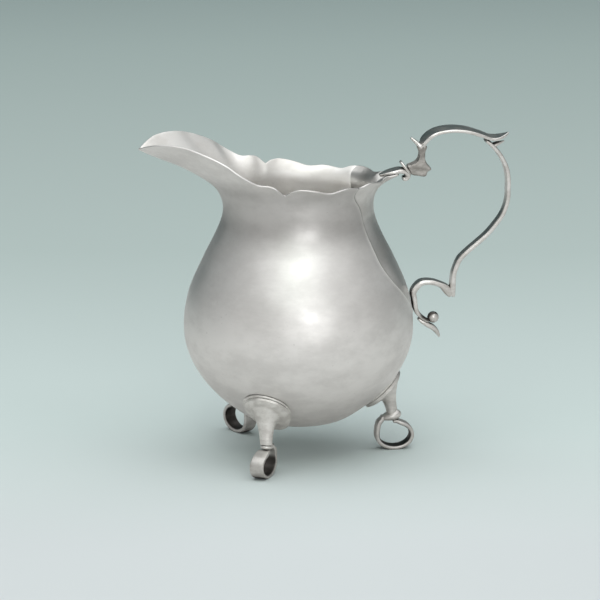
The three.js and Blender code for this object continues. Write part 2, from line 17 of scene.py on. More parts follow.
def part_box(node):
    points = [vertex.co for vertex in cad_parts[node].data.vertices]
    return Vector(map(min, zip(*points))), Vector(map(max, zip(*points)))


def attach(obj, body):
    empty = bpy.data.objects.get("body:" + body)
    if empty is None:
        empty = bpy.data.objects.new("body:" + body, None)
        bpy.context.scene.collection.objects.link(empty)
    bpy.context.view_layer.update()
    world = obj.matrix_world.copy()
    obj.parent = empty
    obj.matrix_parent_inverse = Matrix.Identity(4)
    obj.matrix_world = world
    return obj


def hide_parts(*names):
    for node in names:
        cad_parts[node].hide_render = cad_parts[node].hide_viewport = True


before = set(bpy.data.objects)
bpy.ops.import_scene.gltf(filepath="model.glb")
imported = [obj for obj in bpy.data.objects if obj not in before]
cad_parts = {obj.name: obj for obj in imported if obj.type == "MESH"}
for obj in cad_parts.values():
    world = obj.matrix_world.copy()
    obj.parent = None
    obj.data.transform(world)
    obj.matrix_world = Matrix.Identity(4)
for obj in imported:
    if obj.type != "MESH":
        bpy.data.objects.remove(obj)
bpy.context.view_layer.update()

print("nodes in the frame:", len(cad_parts))

# %% [markdown]
# ## One frame for the maker's numbers
# A silversmith measures a round body from its own axis, in millimetres, so the shapes below are
# written that way. The lip's tip is a known distance from the axis and is also the low end of the
# body's box, which gives the place of the axis in the frame. Angles run round the axis from the
# lip, and are positive on the side towards the viewer.

# %% Axis and units
MM = 0.001
LIP_TIP = 49.8
AXIS_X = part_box("body")[0].x + LIP_TIP * MM
print("axis of the jug at x =", round(AXIS_X, 5))

# %% [markdown]
# ## Camera
# A long lens from a little above keeps the outline of small tableware calm, because near and far
# parts are drawn at almost the same scale. The camera stands 1.35 m away and turned a little
# towards the lip side. It is made first, so that every later step can be looked at.

# %% Camera
CAMERA_TURN = math.radians(8.1)
CAMERA_DISTANCE = 1.35
CAMERA_HEIGHT = 0.388
LENS = 268.5
AIM = Vector((AXIS_X, 0, 0.049))


def seen_from(turn, rise, distance):
    """A place round the jug: turn to the viewer's right and rise above the horizon, in degrees."""
    bearing = math.radians(turn) - CAMERA_TURN
    flat = math.cos(math.radians(rise))
    way = Vector((math.sin(bearing) * flat, -math.cos(bearing) * flat, math.sin(math.radians(rise))))
    return AIM + way * distance


def placed(name, data):
    """A new object in the scene that holds the data."""
    item = bpy.data.objects.new(name, data)
    bpy.context.scene.collection.objects.link(item)
    return item


def look_at_jug(item, place):
    item.location = place
    item.rotation_mode = "QUATERNION"
    item.rotation_quaternion = (AIM - item.location).to_track_quat("-Z", "Y")


camera = placed("camera", bpy.data.cameras.new("camera"))
camera.data.lens = LENS
camera.data.sensor_width = 36
camera.data.shift_x = 0.0025
camera.data.clip_start = 0.05
look_at_jug(camera, (AXIS_X - CAMERA_DISTANCE * math.sin(CAMERA_TURN),
                     -CAMERA_DISTANCE * math.cos(CAMERA_TURN), CAMERA_HEIGHT))
bpy.context.scene.camera = camera
bpy.context.scene.view_settings.view_transform = "Standard"
print("camera at", [round(v, 3) for v in camera.location])

# %% [markdown]
# ## Node helpers
# Materials are built from nodes in code. A few small helpers keep that readable: one adds a node and
# sets its values, one makes a named group with its sockets, and the rest are the nodes used most. A
# group can then be placed in several materials with different values.

# %% Node helpers
def add_node(tree, kind, links=None, **values):
    """A new node; values set its properties, and links feeds its inputs with sockets or numbers."""
    node = tree.nodes.new(kind)
    for key, value in values.items():
        setattr(node, key, value)
    for key, source in (links or {}).items():
        if isinstance(source, bpy.types.NodeSocket):
            tree.links.new(source, node.inputs[key])
        else:
            node.inputs[key].default_value = source
    return node


def new_group(name, inputs, outputs):
    """An empty node group with named sockets, and its input and output nodes."""
    tree = bpy.data.node_groups.new(name, "ShaderNodeTree")
    for socket, (kind, default) in inputs.items():
        made = tree.interface.new_socket(socket, in_out="INPUT", socket_type=kind)
        made.default_value = default
    for socket, kind in outputs.items():
        tree.interface.new_socket(socket, in_out="OUTPUT", socket_type=kind)
    return tree, tree.nodes.new("NodeGroupInput"), tree.nodes.new("NodeGroupOutput")


def new_material(name):
    """A material, its node tree and its shader."""
    material = bpy.data.materials.new(name)
    material.use_nodes = True
    return material, material.node_tree, material.node_tree.nodes["Principled BSDF"]


def math_node(tree, operation, a, b):
    return add_node(tree, "ShaderNodeMath", {0: a, 1: b}, operation=operation).outputs[0]


def object_place(tree, stretch=(1, 1, 1)):
    """The place on the object, stretched along its axes."""
    place = add_node(tree, "ShaderNodeTexCoord").outputs["Object"]
    if stretch == (1, 1, 1):
        return place
    return add_node(tree, "ShaderNodeVectorMath", {0: place, 1: stretch}, operation="MULTIPLY").outputs[0]


def noise_field(tree, place, scale, detail, roughness=0.5):
    return add_node(tree, "ShaderNodeTexNoise", {"Vector": place, "Scale": scale, "Detail": detail,
                                                 "Roughness": roughness}).outputs["Fac"]


def ramp(tree, source, low, high):
    """0 below low and 1 above high, smooth between."""
    return add_node(tree, "ShaderNodeMapRange", {"Value": source, "From Min": low, "From Max": high},
                    interpolation_type="SMOOTHSTEP").outputs["Result"]


def blend_colours(tree, share, a, b):
    return add_node(tree, "ShaderNodeMix", {0: share, 6: a, 7: b}, data_type="RGBA").outputs[2]


FLOAT = "NodeSocketFloat"
COLOUR = "NodeSocketColor"
print("node helpers ready")

# %% [markdown]
# ## Floor and sweep
# The jug stands on one long sheet of pale paper. Its colour is painted pale in front and falling off
# to a deeper grey-green behind, a painted fall-off of light made with the place along the sheet, so
# it stays still when the camera moves. The paper curves up far behind, where only the silver can see
# it. The silver mirrors a slightly more neutral paper than the eye sees: a painted reflection.

# %% Floor
FLAT_END = 1.25
BEND = 0.5
PAPER_FROM, PAPER_TO = -0.2, 1.3


def grey_green(red, green, blue):
    """A paper colour from its display values, 0 to 255."""
    def linear(value):
        value = value / 255
        return value / 12.92 if value <= 0.04045 else ((value + 0.055) / 1.055) ** 2.4
    return (linear(red), linear(green), linear(blue), 1)


def paper_sweep():
    """The long sheet: flat floor, a round bend and a wall, as one smooth grid."""
    profile = [(y, 0.0) for y in (-1.3, -0.6, 0.0, 0.5, 0.9, FLAT_END)]
    for step in range(1, 13):
        turn = math.radians(90 * step / 12)
        profile.append((FLAT_END + BEND * math.sin(turn), BEND - BEND * math.cos(turn)))
    profile += [(FLAT_END + BEND, 1.0), (FLAT_END + BEND, 2.2)]
    sides = [-2.2, -0.7, 0.7, 2.2]
    points = [(x, y, z) for y, z in profile for x in sides]
    faces = []
    for row in range(len(profile) - 1):
        for column in range(len(sides) - 1):
            a = row * len(sides) + column
            faces.append((a, a + 1, a + 1 + len(sides), a + len(sides)))
    mesh = bpy.data.meshes.new("paper_sweep")
    mesh.from_pydata(points, [], faces)
    mesh.polygons.foreach_set("use_smooth", [True] * len(faces))
    sweep = placed("paper_sweep", mesh)
    sweep.rotation_euler.z = -CAMERA_TURN
    sweep.location = (AXIS_X, 0, 0)
    return sweep


def paper_ramp(tree, share, stops):
    """Painted light on the paper: colours at distances behind the jug, in metres."""
    colours = add_node(tree, "ShaderNodeValToRGB", {"Fac": share})
    elements = colours.color_ramp.elements
    while len(elements) < len(stops):
        elements.new(0.5)
    for element, (distance, shade) in zip(elements, stops):
        element.position = (distance - PAPER_FROM) / (PAPER_TO - PAPER_FROM)
        element.color = grey_green(*shade)
    return colours.outputs[0]


def paper_material():
    material, tree, shader = new_material("pale_paper")
    along = add_node(tree, "ShaderNodeSeparateXYZ", {0: object_place(tree)}).outputs["Y"]
    share = add_node(tree, "ShaderNodeMapRange",
                     {"Value": along, "From Min": PAPER_FROM, "From Max": PAPER_TO}).outputs[0]
    # Painted light: the paper's colour falls off from pale in front to a deep grey-green behind.
    painted_falloff = paper_ramp(tree, share, [
        (-0.20, (217, 223, 225)), (-0.10, (214, 221, 223)), (-0.03, (212, 223, 223)), (0.03, (208, 222, 221)),
        (0.125, (200, 214, 213)), (0.27, (185, 200, 198)), (0.45, (178, 193, 191)), (0.67, (168, 184, 182)),
        (0.85, (154, 170, 169)), (1.3, (70, 88, 88)),
    ])
    # Painted reflection: a more neutral paper, seen only in the silver.
    painted_reflection = paper_ramp(tree, share, [
        (-0.20, (224, 224, 223)), (0.0, (206, 207, 205)), (0.27, (184, 188, 186)), (0.60, (160, 168, 167)),
        (0.95, (110, 126, 126)), (1.3, (62, 80, 82)),
    ])
    seen = add_node(tree, "ShaderNodeLightPath").outputs["Is Camera Ray"]
    tree.links.new(blend_colours(tree, seen, painted_reflection, painted_falloff), shader.inputs["Base Color"])
    shader.inputs["Roughness"].default_value = 0.9
    shader.inputs["Specular IOR Level"].default_value = 0.1
    return material


sweep = paper_sweep()
sweep.data.materials.append(paper_material())
print("paper sweep with", len(sweep.data.polygons), "faces")

# %% [markdown]
# ## Light
# Satin silver shows the room more than its own colour, so the light is laid out as the silver sees
# it. One lamp high in front gives the streak down the shoulder, one large low one gives the glow on
# the belly, and a wide one overhead lights the paper and the inside of the lip. The rest of the
# room is a soft grey in front that falls off to a deep grey-green behind and above.

# %% Lamps and room
def soft_lamp(name, turn, rise, distance, width, height, power, colour=(1, 1, 1)):
    data = bpy.data.lights.new(name, "AREA")
    data.shape = "RECTANGLE"
    data.size = width
    data.size_y = height
    data.energy = power
    data.color = colour
    lamp = placed(name, data)
    look_at_jug(lamp, seen_from(turn, rise, distance))
    return lamp


lamps = [
    soft_lamp("shoulder_lamp", -4, 47, 1.7, 0.22, 0.34, 1.6, (0.88, 1.0, 0.88)),
    soft_lamp("belly_lamp", 12, 18, 1.7, 0.62, 0.46, 3.3),
    soft_lamp("overhead_lamp", 10, 90, 1.6, 2.6, 2.6, 29),
]


def room():
    world = bpy.data.worlds.new("room")
    bpy.context.scene.world = world
    world.use_nodes = True
    tree = world.node_tree
    way = add_node(tree, "ShaderNodeTexCoord").outputs["Generated"]
    parts = add_node(tree, "ShaderNodeSeparateXYZ", {0: way})
    front = ramp(tree, math_node(tree, "MULTIPLY", parts.outputs["Y"], -1.0), -0.75, 0.7)
    high = ramp(tree, parts.outputs["Z"], -0.15, 0.85)
    level = blend_colours(tree, front, (0.37, 0.385, 0.38, 1), (0.60, 0.595, 0.58, 1))
    above = blend_colours(tree, front, (0.12, 0.138, 0.140, 1), (0.45, 0.45, 0.44, 1))
    colour = blend_colours(tree, high, level, above)
    tree.links.new(colour, tree.nodes["Background"].inputs["Color"])
    tree.nodes["Background"].inputs["Strength"].default_value = 1.0


room()
print("lamps:", [lamp.name for lamp in lamps])

# %% [markdown]
# ## Shared finishes
# Old silver has two effects that every piece shares, and a third darkens the hollows, so each is a
# node group. Planishing leaves shallow hammer facets and fine strokes that run round the form.
# Handling leaves clouds of brighter and duller metal. The darkening of the hollows is tarnish that
# cleaning never reaches in tight corners, and painted shade where its reach is long, deep in the
# jug's throat. It is made with ambient occlusion, which measures how enclosed a point is.

# %% Group: planished surface
STROKE_STRETCH = (60, 60, 900)


def planished_group():
    tree, given, made = new_group("planished_surface", {
        "Facet Scale": (FLOAT, 170.0), "Facet Depth": (FLOAT, 0.5), "Stroke Depth": (FLOAT, 0.25),
    }, {"Height": FLOAT})
    facets = add_node(tree, "ShaderNodeTexVoronoi", {
        "Vector": object_place(tree), "Scale": given.outputs["Facet Scale"], "Smoothness": 1.0,
    }, feature="SMOOTH_F1").outputs["Distance"]
    strokes = noise_field(tree, object_place(tree, STROKE_STRETCH), 1.0, 5.0, 0.65)
    deep = math_node(tree, "MULTIPLY", facets, given.outputs["Facet Depth"])
    fine = math_node(tree, "MULTIPLY", strokes, given.outputs["Stroke Depth"])
    tree.links.new(math_node(tree, "ADD", deep, fine), made.inputs["Height"])
    return tree


# %% Group: handled silver
CLOUD_STRETCH = (1, 1, 1.7)


def handled_group():
    tree, given, made = new_group("handled_silver", {
        "Bright": (COLOUR, (0.86, 0.85, 0.82, 1)), "Dull": (COLOUR, (0.62, 0.61, 0.57, 1)),
        "Cloud Scale": (FLOAT, 70.0), "Polished": (FLOAT, 0.28), "Worn Dull": (FLOAT, 0.42),
    }, {"Colour": COLOUR, "Roughness": FLOAT})
    clouds = noise_field(tree, object_place(tree, CLOUD_STRETCH), given.outputs["Cloud Scale"], 6.0, 0.62)
    specks = noise_field(tree, object_place(tree), 900.0, 3.0)
    share = math_node(tree, "MAXIMUM", math_node(tree, "MULTIPLY", ramp(tree, clouds, 0.36, 0.66), 0.8),
                      math_node(tree, "MULTIPLY", ramp(tree, specks, 0.66, 0.78), 0.9))
    colour = blend_colours(tree, share, given.outputs["Bright"], given.outputs["Dull"])
    tree.links.new(colour, made.inputs["Colour"])
    spread = add_node(tree, "ShaderNodeMapRange", {"Value": share, "To Min": given.outputs["Polished"],
                                                   "To Max": given.outputs["Worn Dull"]}).outputs[0]
    tree.links.new(spread, made.inputs["Roughness"])
    return tree


# %% Group: tarnish and painted shade in hollows
def hollows_group():
    tree, given, made = new_group("tarnish_and_painted_shade_in_hollows", {
        "Reach": (FLOAT, 0.002), "Start": (FLOAT, 0.25), "Full": (FLOAT, 0.85),
    }, {"Mask": FLOAT})
    # Darkens enclosed points: tarnish in tight corners, painted shade where the reach is long.
    open_share = add_node(tree, "ShaderNodeAmbientOcclusion", {"Distance": given.outputs["Reach"]},
                          samples=12).outputs["AO"]
    closed = math_node(tree, "SUBTRACT", 1.0, open_share)
    mask = ramp(tree, closed, given.outputs["Start"], given.outputs["Full"])
    tree.links.new(mask, made.inputs["Mask"])
    return tree


PLANISHED = planished_group()
HANDLED = handled_group()
HOLLOWS = hollows_group()
print("shared groups:", PLANISHED.name, HANDLED.name, HOLLOWS.name)

# %% [markdown]
# ## Silver materials
# Each finish places the three groups with its own values: the raised sheet is satin with wide
# facets, the castings hold black tarnish in their hollows, the knuckle gets a darker copy of the cast
# silver as painted shade, and the inside of the jug is pale and matt because it was never polished,
# with painted shade deep in its throat. The solder along the let-in panel, painted bright as the
# highlight on its lapped edge, and the painted shade and darkening on the neck, in crevices and in
# the scrolls are masks that the meshes carry.

# %% Silver materials
# Near-black for tarnish in hollows and for painted shade.
DARK_TARNISH_AND_SHADE = (0.040, 0.034, 0.030, 1)
MASK_COLOURS = {"solder_and_highlight": (0.92, 0.92, 0.90, 1), "shade_and_darkening": DARK_TARNISH_AND_SHADE}
HOLLOW_ROUGHNESS = 0.25
BUMP_STRENGTH, BUMP_DEPTH = 0.35, 0.0002


def silver_material(name, bright, dull, clouds, polished, worn, facets, strokes, reach, start, full,
                    masks=()):
    """Silver from the three groups; the masks on the mesh then lay solder with a painted highlight, or
    painted shade and darkening, over it.
    """
    material, tree, shader = new_material(name)
    shader.inputs["Metallic"].default_value = 1.0
    metal = add_node(tree, "ShaderNodeGroup", {
        "Bright": (*bright, 1), "Dull": (*dull, 1), "Cloud Scale": clouds, "Polished": polished,
        "Worn Dull": worn}, node_tree=HANDLED)
    hollow = add_node(tree, "ShaderNodeGroup", {"Reach": reach, "Start": start, "Full": full},
                      node_tree=HOLLOWS)
    # The hollows mask lays tarnish in tight corners and painted shade where its reach is long.
    colour = blend_colours(tree, hollow.outputs["Mask"], metal.outputs["Colour"], DARK_TARNISH_AND_SHADE)
    # The mesh masks lay a solder line with a painted highlight, and painted shade or darkening.
    for mask in masks:
        share = add_node(tree, "ShaderNodeAttribute", attribute_name=mask).outputs["Fac"]
        colour = blend_colours(tree, share, colour, MASK_COLOURS[mask])
    tree.links.new(colour, shader.inputs["Base Color"])
    roughened = math_node(tree, "MULTIPLY", hollow.outputs["Mask"], HOLLOW_ROUGHNESS)
    tree.links.new(math_node(tree, "ADD", metal.outputs["Roughness"], roughened), shader.inputs["Roughness"])
    surface = add_node(tree, "ShaderNodeGroup", {"Facet Depth": facets, "Stroke Depth": strokes},
                       node_tree=PLANISHED)
    bump = add_node(tree, "ShaderNodeBump", {"Strength": BUMP_STRENGTH, "Distance": BUMP_DEPTH,
                                             "Height": surface.outputs["Height"]})
    tree.links.new(bump.outputs["Normal"], shader.inputs["Normal"])
    return material


SHEET = silver_material("raised_silver", (0.90, 0.888, 0.875), (0.74, 0.728, 0.715), 60, 0.42, 0.52,
                        0.7, 0.40, 0.0012, 0.55, 0.95, ("solder_and_highlight", "shade_and_darkening"))
PANEL = silver_material("panel_silver", (0.80, 0.79, 0.775), (0.62, 0.61, 0.59), 85, 0.38, 0.48,
                        0.4, 0.35, 0.0012, 0.55, 0.95, ("shade_and_darkening",))
# The inside's hollows mask has a long reach, so it paints shade deep down the throat.
INSIDE = silver_material("inside_silver", (0.98, 0.97, 0.95), (0.84, 0.82, 0.79), 75, 0.52, 0.62,
                         0.4, 0.20, 0.030, 0.56, 0.98)
# The inside of the panel also gets painted shade from the long-reach hollows mask.
PANEL_INSIDE = silver_material("panel_inside_silver", (0.62, 0.62, 0.61), (0.48, 0.47, 0.45), 75, 0.32,
                               0.44, 0.4, 0.20, 0.030, 0.68, 1.0)
CASTING = silver_material("cast_silver", (0.82, 0.81, 0.79), (0.62, 0.60, 0.57), 260, 0.28, 0.40,
                          0.10, 0.03, 0.0022, 0.42, 0.80, ("shade_and_darkening",))
# A darker copy of the cast silver for the knuckle: painted shade.
SHADED_CAST = silver_material("shaded_cast_silver", (0.50, 0.485, 0.46), (0.30, 0.285, 0.265), 420, 0.50, 0.62,
                         0.15, 0.05, 0.0024, 0.45, 0.85)
FOOT = silver_material("foot_silver", (0.86, 0.85, 0.825), (0.62, 0.605, 0.58), 220, 0.44, 0.58,
                       0.12, 0.04, 0.0026, 0.45, 0.85, ("shade_and_darkening",))
print("materials:", [m.name for m in (SHEET, PANEL, INSIDE, PANEL_INSIDE, CASTING, SHADED_CAST, FOOT)])

# %% [markdown]
# ## Curves and sections
# The maker's drawings are a few points joined by smooth curves. A centripetal Catmull-Rom curve
# runs through every point and doesn't loop between close ones. Sizes that change along a piece,
# such as the width of a band, are read from keys with a smooth function.

# %% Smooth curve and smooth keys
def smooth_curve(points, steps):
    """Points along a centripetal Catmull-Rom curve, evenly spaced in the keys' own count."""
    keys = np.array(points, float)
    keys = np.vstack([2 * keys[0] - keys[1], keys, 2 * keys[-1] - keys[-2]])
    spans = len(points) - 1
    curve = []
    for place in np.linspace(0, spans, steps + 1):
        i = min(int(place), spans - 1)
        t = place - i
        a, b, c, d = keys[i:i + 4]
        before, here, after = [max(math.sqrt(np.linalg.norm(q - p)), 1e-4)
                               for p, q in ((a, b), (b, c), (c, d))]
        start = ((b - a) / before - (c - a) / (before + here) + (c - b) / here) * here
        end = ((c - b) / here - (d - b) / (here + after) + (d - c) / after) * here
        curve.append(b + start * t + (3 * (c - b) - 2 * start - end) * t ** 2
                     + (2 * (b - c) + start + end) * t ** 3)
    return np.array(curve)


def smooth_keys(keys):
    """A function of one number through rows of (input, value, value, ...)."""
    keys = np.array(keys, float)
    inputs, values = keys[:, 0], keys[:, 1:]
    ahead = np.minimum(np.arange(len(keys)) + 1, len(keys) - 1)
    behind = np.maximum(np.arange(len(keys)) - 1, 0)
    slopes = (values[ahead] - values[behind]) / (inputs[ahead] - inputs[behind])[:, None]

    def read(at):
        at = np.clip(np.asarray(at, float), inputs[0], inputs[-1])
        i = np.clip(np.searchsorted(inputs, at, side="left") - 1, 0, len(inputs) - 2)
        span = (inputs[i + 1] - inputs[i])[..., None]
        t = ((at - inputs[i]) / (inputs[i + 1] - inputs[i]))[..., None]
        return ((1 + 2 * t) * (1 - t) ** 2 * values[i] + t * (1 - t) ** 2 * span * slopes[i]
                + t * t * (3 - 2 * t) * values[i + 1] + t * t * (t - 1) * span * slopes[i + 1])
    return read


def step_between(value, low, high):
    """0 below low, 1 above high, smooth between."""
    t = np.clip((np.asarray(value, float) - low) / (high - low), 0, 1)
    return t * t * (3 - 2 * t)


print("curve test, middle of a quarter:", smooth_curve([(0, 1), (0.7, 0.7), (1, 0)], 2)[1].round(2))

# %% [markdown]
# ## Making a piece
# Every piece ends the same way: its points move from the jug's axis into the frame, its faces are
# turned outwards and shaded smooth with sharp edges kept, and it is tied to the frame. It rides on
# the one body and stands for its CAD node. A slight unevenness from hand work is added to the points
# themselves, so it is real shape.

# %% Piece maker
CASTING_BUMP = 2.2


def uneven(points, size, depth, seed):
    """How far the hand-worked surface stands off at each point, in mm."""
    return depth * np.array([noise.noise(Vector((x / size + seed, y / size - seed, z / size)))
                             for x, y, z in points])


def make_piece(name, points, faces, finish, slot, sharp=40, masks=None, inner=None, worked=0.0):
    """A finished piece named like its CAD node; inner is (faces, material) for a second finish."""
    mesh = bpy.data.meshes.new(name)
    mesh.from_pydata((points * MM + (AXIS_X, 0, 0)).tolist(), [], faces)
    mesh.materials.append(finish)
    for mask, values in (masks or {}).items():
        attribute = mesh.attributes.new(mask, "FLOAT", "POINT")
        attribute.data.foreach_set("value", np.asarray(values, np.float32))
    if inner is not None:
        mesh.materials.append(inner[1])
        marks = np.zeros(len(faces), np.int32)
        marks[inner[0]] = 1
        mesh.polygons.foreach_set("material_index", marks)
    shape = bmesh.new()
    shape.from_mesh(mesh)
    bmesh.ops.remove_doubles(shape, verts=shape.verts, dist=1e-8)
    bmesh.ops.recalc_face_normals(shape, faces=shape.faces)
    if worked:
        shape.normal_update()
        rest = np.array([v.co for v in shape.verts]) / MM
        for vertex, lift in zip(shape.verts, uneven(rest, CASTING_BUMP, worked, 0.0)):
            vertex.co += vertex.normal * lift * MM
    shape.to_mesh(mesh)
    shape.free()
    mesh.polygons.foreach_set("use_smooth", [True] * len(mesh.polygons))
    mesh.set_sharp_from_angle(angle=math.radians(sharp))
    piece = placed(f"fine_{name}", mesh)
    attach(piece, "root")
    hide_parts(name)
    print(name, "made with", len(mesh.polygons), "faces")


# %% [markdown]
# ## Body outline and rim
# The body was hammered up from a flat disc into a pear with its widest part low down. Turned on its
# axis, one outline gives all of it up to the neck. Above the neck the sheet flares to a rim that is
# different at every angle: a long lip, a notch, and low scallops. A Bezier curve at each angle
# joins the upright neck to the rim with a given slope.

# %% Outline of the body
BASE_CLEARANCE = 11.0
BELLY_RADIUS = 35.9
NECK_RADIUS = 23.3
NECK_HEIGHT = 78.5
WALL = 0.65
OUTLINE = smooth_curve([
    (0, BASE_CLEARANCE), (8.5, 11.1), (14.6, 11.95), (20.1, 15.2), (26.4, 20.6), (31.5, 26.8), (34.87, 34.2),
    (BELLY_RADIUS, 41.5), (34.4, 51.8), (30.19, 62.1), (25.7, 71), (23.5, 76.5), (NECK_RADIUS, NECK_HEIGHT),
], 600)
outline_length = np.concatenate([[0], np.cumsum(np.linalg.norm(np.diff(OUTLINE, axis=0), axis=1))])
outline_length /= outline_length[-1]


def outline_at(share):
    """Radius and height at a share of the way up the outline."""
    return np.interp(share, outline_length, OUTLINE[:, 0]), np.interp(share, outline_length, OUTLINE[:, 1])


def body_radius(height):
    """Radius of the body at a height from its underside up to the neck."""
    return np.interp(height, OUTLINE[:, 1], OUTLINE[:, 0])


print("belly", 2 * BELLY_RADIUS, "mm across, neck", 2 * NECK_RADIUS, "mm")

# %% Rim of the lip and of the scalloped skirt
NOTCH = 72.0
lip_rim = smooth_keys([
    [0, 26.5, 20.1], [5, 24.0, 21.6], [10, 21.7, 22.5], [15, 18.7, 22.8], [20, 15.9, 22.4], [26, 13.5, 21.3],
    [32, 11.1, 19.7], [38, 9.2, 17.9], [44, 7.9, 15.8], [50, 5.6, 13.5], [55, 3.5, 12.0], [61, 2.3, 11.8],
    [66.5, 2.0, 11.1], [NOTCH, 0.7, 9.1],
])
skirt_rim = smooth_keys([
    [NOTCH, 0.7, 9.1], [77, 1.2, 10.4], [84, 1.4, 10.9], [94, 1.3, 10.1], [105, 1.1, 8.9], [118, 1.3, 9.5],
    [132, 1.2, 8.9], [140, 2.1, 9.7], [148, 2.8, 9.6], [156, 3.0, 9.0], [163, 2.9, 8.6], [168, 3.4, 8.8],
    [171.5, 4.5, 9.3], [175, 7.7, 9.6], [180, 8.0, 9.7],
])
rim_slope = smooth_keys([
    [0, 27], [10, 42], [20, 52], [30, 55], [44, 50], [60, 55], [NOTCH, 65], [100, 62], [132, 60], [150, 40],
    [165, 27], [180, 20],
])
near_lift = smooth_keys([
    [0, -0.5], [24, -0.1], [50, 0], [60, -0.2], [NOTCH, -0.4], [90, 0], [105, 0.2], [125, 0.6], [140, 0.5],
    [160, 0], [180, 0],
])
far_lift = smooth_keys([
    [0, -0.5], [24, -0.1], [50, 0], [62, 0.1], [NOTCH, 0.1], [82, -0.75], [94, -1.0], [110, -1.3],
    [125, -1.4], [140, -1.0], [160, -0.2], [180, 0],
])


def rim_at(angle):
    """Distance out from the neck and height above it; a rim cut by eye is lifted a little unevenly."""
    size = np.abs(angle)
    keys = np.where((size <= NOTCH)[..., None], lip_rim(size), skirt_rim(size))
    lift = np.where(np.asarray(angle) > 0, near_lift(size)[..., 0], far_lift(size)[..., 0])
    return keys[..., 0], keys[..., 1] + lift


ROUND = np.linspace(-180, 180, 1441)
SPREAD = 6.0
EVERTED = 0.45
REACHED = 80
weights = np.exp(-(np.arange(-REACHED, REACHED + 1) / (4 * SPREAD)) ** 2)
weights /= weights.sum()
soft_out, soft_rise = [
    np.convolve(np.concatenate([v[-REACHED - 1:-1], v, v[1:REACHED + 1]]), weights, "valid")
    for v in rim_at(ROUND)]


SCALLOPED = (0.4, 0.97)
SKIRT = (76, 84, 150, 165)
ROLL_FROM = 0.74


def neck_at(angle, t, steepest):
    """Reach and height on the flared neck, from t = 0 at the neck to t = 1 at the rim.

    Below its edge the sheet follows a softened rim, because the scallops were cut after raising.
    """
    out, rise = rim_at(angle)
    near_edge = step_between(t, *SCALLOPED)
    out = np.interp(angle, ROUND, soft_out) * (1 - near_edge) + out * near_edge
    rise = np.interp(angle, ROUND, soft_rise) * (1 - near_edge) + rise * near_edge
    slope = np.radians(np.minimum(rim_slope(np.abs(angle))[..., 0], steepest))
    arm = 0.5 * np.hypot(out, rise)
    skirt = step_between(np.abs(angle), *SKIRT[:2]) * (1 - step_between(np.abs(angle), *SKIRT[2:]))
    rolled = EVERTED * skirt * np.clip((t - ROLL_FROM) / (1 - ROLL_FROM), 0, 1) ** 2
    first, second, third = 3 * t * (1 - t) ** 2, 3 * t * t * (1 - t), t ** 3
    reach = NECK_RADIUS + second * (out - arm * np.cos(slope)) + third * out + rolled
    height = NECK_HEIGHT + first * 0.42 * rise + second * (rise - arm * np.sin(slope)) + third * rise
    return reach, height


UPRIGHT = 90


def sheet_at(angle, row, steepest=UPRIGHT):
    """A point of the outside: row 0 to 1 climbs the body, 1 to 2 climbs the neck."""
    low_reach, low_height = outline_at(np.minimum(row, 1))
    high_reach, high_height = neck_at(angle, np.clip(row - 1, 0, 1), steepest)
    reach = np.where(row <= 1, low_reach, high_reach)
    height = np.where(row <= 1, low_height, high_height)
    turn = np.radians(angle)
    return np.stack([-reach * np.cos(turn), -reach * np.sin(turn), height], axis=-1)


print("tip of the lip at", sheet_at(np.array(0.0), np.array(2.0)).round(2))

# %% [markdown]
# ## Seam of the let-in panel
# A leaf-shaped panel was let into the back, and its seam runs from the rim down to a point under
# the handle. The seam is a curve on the sheet, so body and panel are each a grid whose side edge
# follows it. That gives a clean edge without a boolean cut, which would leave long thin faces.

# %% Seam
TIP_HEIGHT = 43.5
seam_curve = smooth_curve([
    (19.9, 90.0), (18.0, 85.2), (16.0, 81.0), (15.3, 77.0), (16.68, 69.85), (18.3, 63.5), (17.3, 58.3),
    (14.5, 53.7), (8.6, 48.3), (1.2, TIP_HEIGHT),
], 300)[::-1]
FAR_SHIFT = 11.8
SEAM_START = 132.0


def seam_half(height):
    """Half width of the panel at a height, closed to a blunt point at its tip."""
    half = np.interp(height, seam_curve[:, 1], seam_curve[:, 0])
    return half * np.sqrt(np.clip((height - TIP_HEIGHT) / 0.6, 0, 1))


def seam_angle(rows, side):
    """The seam's angle on each row; side is 1 towards the viewer and -1 behind."""
    angle = np.full(len(rows), SEAM_START)
    for _ in range(25):
        place = sheet_at(side * angle, rows)
        reach = np.hypot(place[:, 0], place[:, 1])
        angle = 180 - np.degrees(np.arcsin(np.clip(seam_half(place[:, 2]) / reach, 0, 0.95)))
    if side < 0:
        shift = FAR_SHIFT * step_between(place[:, 2], 66, 88)
        angle = np.minimum(angle + shift, 180)
    return angle


tip_row = float(np.interp(TIP_HEIGHT, OUTLINE[:, 1], outline_length))
low_rows = np.linspace(0, tip_row, 49)[1:]
seam_rows = np.linspace(tip_row, 1, 62)[1:]
neck_rows = 1 + np.linspace(0, 1, 47)[1:]
ROWS = np.concatenate([low_rows, seam_rows, neck_rows])
near_seam, far_seam = seam_angle(ROWS, 1), seam_angle(ROWS, -1)
print("seam at the rim:", near_seam[-1].round(1), "and", far_seam[-1].round(1), "degrees from the lip")

# %% [markdown]
# ## Sheet pieces
# A sheet piece is a grid of outside points, the same grid moved in by the wall, and a rounded edge
# between them at the rim. The wall is even, and a trace thicker at the rim, where the edge was beaten.
# The edge along the seam stands slightly proud, as a soldered lap does.

# %% Thick sheet from a grid
EDGE_STEPS = 5
RIM_WALL = 0.66


def reach_of(grid):
    """Distance of each point from the jug's axis."""
    return np.hypot(grid[..., 0], grid[..., 1])


